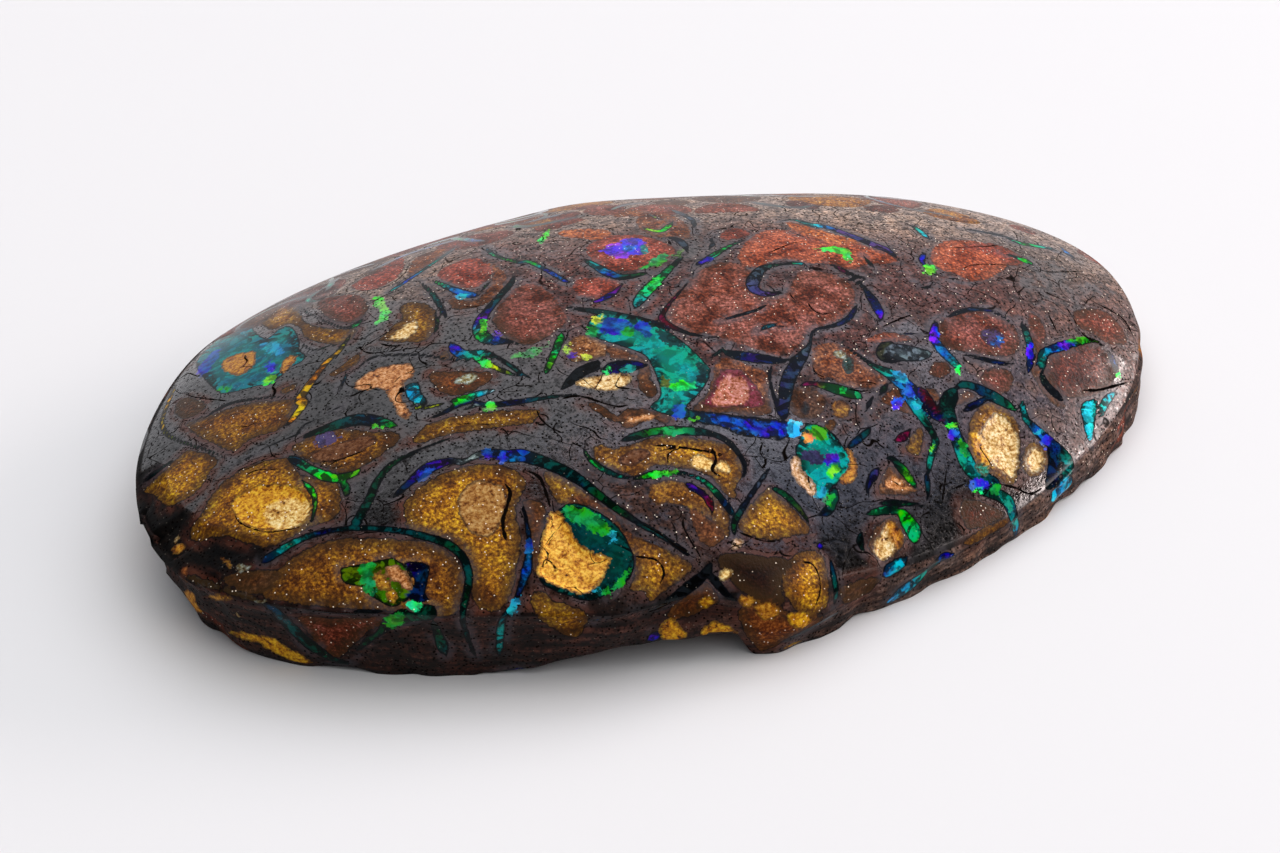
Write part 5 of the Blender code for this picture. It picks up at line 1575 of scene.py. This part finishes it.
# Cracks, crack lines and pores take a near-black colour: painted shade of the hollows, which also mirror nothing.
hollows_and_painted_shade = add("Math", {0: crack_share, 1: add("Math", {0: lines, 1: stony}, **TIMES)}, **MOST)
hollows_and_painted_shade = add("Math", {0: hollows_and_painted_shade, 1: pores}, **MOST)
colour = add("Mix", {0: hollows_and_painted_shade, 6: colour, 7: rgba("#0b0807")}, 2, **OVER)
sandy = add("Math", {0: nodule_share, 1: clay_ground}, **MOST)
sandy = add("MapRange", {0: add("Math", {0: sandy, 1: stony}, **TIMES), 3: 0.08, 4: 0.95})
# The painted highlights are laid mostly on sandy nodules and clay, hardly on slate or opal.
painted_glint_share = add("Math", {0: painted_glints, 1: sandy}, **TIMES)
colour = add("Mix", {0: painted_glint_share, 6: colour, 7: rgba("#fff0dc")}, 2, **OVER)
print("pores and glints:", len(skin.nodes), "nodes so far")

# %% Four shaders, mixed in the order of the marks
dull = add("MapRange", {0: polished, 1: 0.3, 2: 1.0, 3: 0.7, 4: 0.13}, **SOFT)
dull = add("Math", {0: add("MapRange", {0: lumps, 1: 0.35, 2: 0.65, 3: 0.0, 4: 0.07}), 1: dull}, **PLUS)
earthy = add("MapRange", {0: polished, 1: 0.3, 2: 1.0, 3: 0.8, 4: 0.4}, **SOFT)
relief = add("Bump", {"Height": grain, "Strength": 0.5, "Distance": 0.00007})
peel = add("Bump", {"Height": lumps, "Strength": 0.35, "Distance": 0.00007})
bare = add("MapRange", {0: add("Math", {0: lumps, 1: grain}, **PLUS), 1: 0.84, 2: 1.04, 3: 0.22, 4: 0.56}, **SOFT)
# The blackest stone is the most porous, and mirrors least.
bare = add("Math", {0: bare, 1: add("MapRange", {0: stone_tint, 1: 0.006, 2: 0.022, 3: 0.25})}, **TIMES)
ironstone = {"Base Color": colour, "Roughness": dull, "IOR": 2.1, "Specular IOR Level": bare, "Normal": peel}
ironstone = add("BsdfPrincipled", ironstone)
close = add("MapRange", {0: nodule_share, 3: 0.28, 4: 0.15})
clay = {"Base Color": colour, "Roughness": earthy, "IOR": 1.5, "Specular IOR Level": close, "Normal": relief}
clay = add("BsdfPrincipled", clay)
opal_glass = add("BsdfPrincipled", {"Base Color": colour, "Roughness": 0.12, "IOR": 1.45, "Specular IOR Level": 0.12})
hollow = add("BsdfPrincipled", {"Base Color": colour, "Roughness": 1.0, "Specular IOR Level": 0.0})
earthy_share = add("Math", {0: nodule_share, 1: add("Math", {0: clay_ground, 1: core_share}, **MOST)}, **MOST)
earthy_share = add("Math", {0: earthy_share, 1: add("MapRange", {0: rusty, 1: 0.2, 2: 0.6, 4: 0.8}, **SOFT)}, **MOST)
sheen_back = add("MapRange", {0: veiled, 3: 1.0, 4: 0.3})
earthy_share = add("Math", {0: earthy_share, 1: sheen_back}, **TIMES)
earthy_share = add("Math", {0: earthy_share, 1: add("MapRange", {0: polished, 1: 1.0, 2: 0.6}, **SOFT)}, **MOST)
surface = add("MixShader", {0: earthy_share, 1: ironstone, 2: clay})
surface = add("MixShader", {0: glass_share, 1: surface, 2: opal_glass})
surface = add("MixShader", {0: hollows_and_painted_shade, 1: surface, 2: hollow})
skin.links.new(surface, skin.nodes.new("ShaderNodeOutputMaterial").inputs["Surface"])
mesh.materials.append(finish)
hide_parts("opal_stone")
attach(polished_opal, "root")
print("finish:", len(skin.nodes), "nodes")
# %% [markdown]
# ## Table and light
#
# The stone lies on a plain pale table. A long softbox behind it is what the polish mirrors, as a slate-blue
# sheen that turns to a veil where the dome falls away, and the far rim's pale tint paints more of that veil in.
# The room in front stays dark, so the front of the dome shows its colours bare. The lamps that only light the
# colours are hidden from mirrored rays.

# %% The table
TABLE_SIZE = 4.0
table_mesh = bpy.data.meshes.new("table")
table_form = bmesh.new()
bmesh.ops.create_grid(table_form, x_segments=1, y_segments=1, size=TABLE_SIZE / 2)
table_form.to_mesh(table_mesh)
table_form.free()
table = bpy.data.objects.new("table", table_mesh)
bpy.context.scene.collection.objects.link(table)
paper = bpy.data.materials.new("matt_paper")
paper.use_nodes = True
paper_shader = paper.node_tree.nodes["Principled BSDF"]
paper_shader.inputs["Base Color"].default_value = rgba("#e2e3e6")
paper_shader.inputs["Roughness"].default_value = 0.9
table_mesh.materials.append(paper)

# %% The room
world = bpy.data.worlds.new("room")
world.use_nodes = True
world.node_tree.nodes["Background"].inputs["Color"].default_value = rgba("#f2f4f8")
world.node_tree.nodes["Background"].inputs["Strength"].default_value = 0.08
bpy.context.scene.world = world


# %% Softboxes
def softbox(name, azimuth, elevation, distance, wide, high, watts, code, mirrored=True):
    """A rectangular lamp that faces the stone. Azimuth and elevation in degrees, 0 towards -Y."""
    lamp_data = bpy.data.lights.new(name, "AREA")
    lamp_data.shape = "RECTANGLE"
    lamp_data.size = wide
    lamp_data.size_y = high
    lamp_data.energy = watts
    lamp_data.color = linear(code)
    lamp = bpy.data.objects.new(name, lamp_data)
    lamp.visible_glossy = mirrored
    a, e = math.radians(azimuth), math.radians(elevation)
    way = Vector((math.sin(a) * math.cos(e), -math.cos(a) * math.cos(e), math.sin(e)))
    lamp.matrix_world = Matrix.Translation(way * distance) @ way.to_track_quat("Z", "Y").to_matrix().to_4x4()
    bpy.context.scene.collection.objects.link(lamp)
    print(name, "at", [round(value, 2) for value in lamp.location], "m")


softbox("back_softbox", 167.0, 34.0, 1.0, 1.95, 1.45, 6.4, "#eaeaf0")
softbox("right_softbox", 108.0, 53.0, 1.0, 0.75, 0.9, 1.0, "#d0dcff")
softbox("low_softbox", 92.0, 15.0, 0.8, 0.5, 0.25, 4.5, "#fff0ec")
softbox("key_softbox", 125.0, 70.0, 1.0, 1.6, 1.6, 9.2, "#fffaf4", mirrored=False)
softbox("fill_softbox", -20.0, 66.0, 1.2, 1.5, 1.5, 5.6, "#ffffff", mirrored=False)
softbox("side_softbox", 50.0, 28.0, 1.2, 1.2, 0.8, 3.2, "#fff8f4", mirrored=False)
bpy.context.scene.view_settings.view_transform = "Standard"
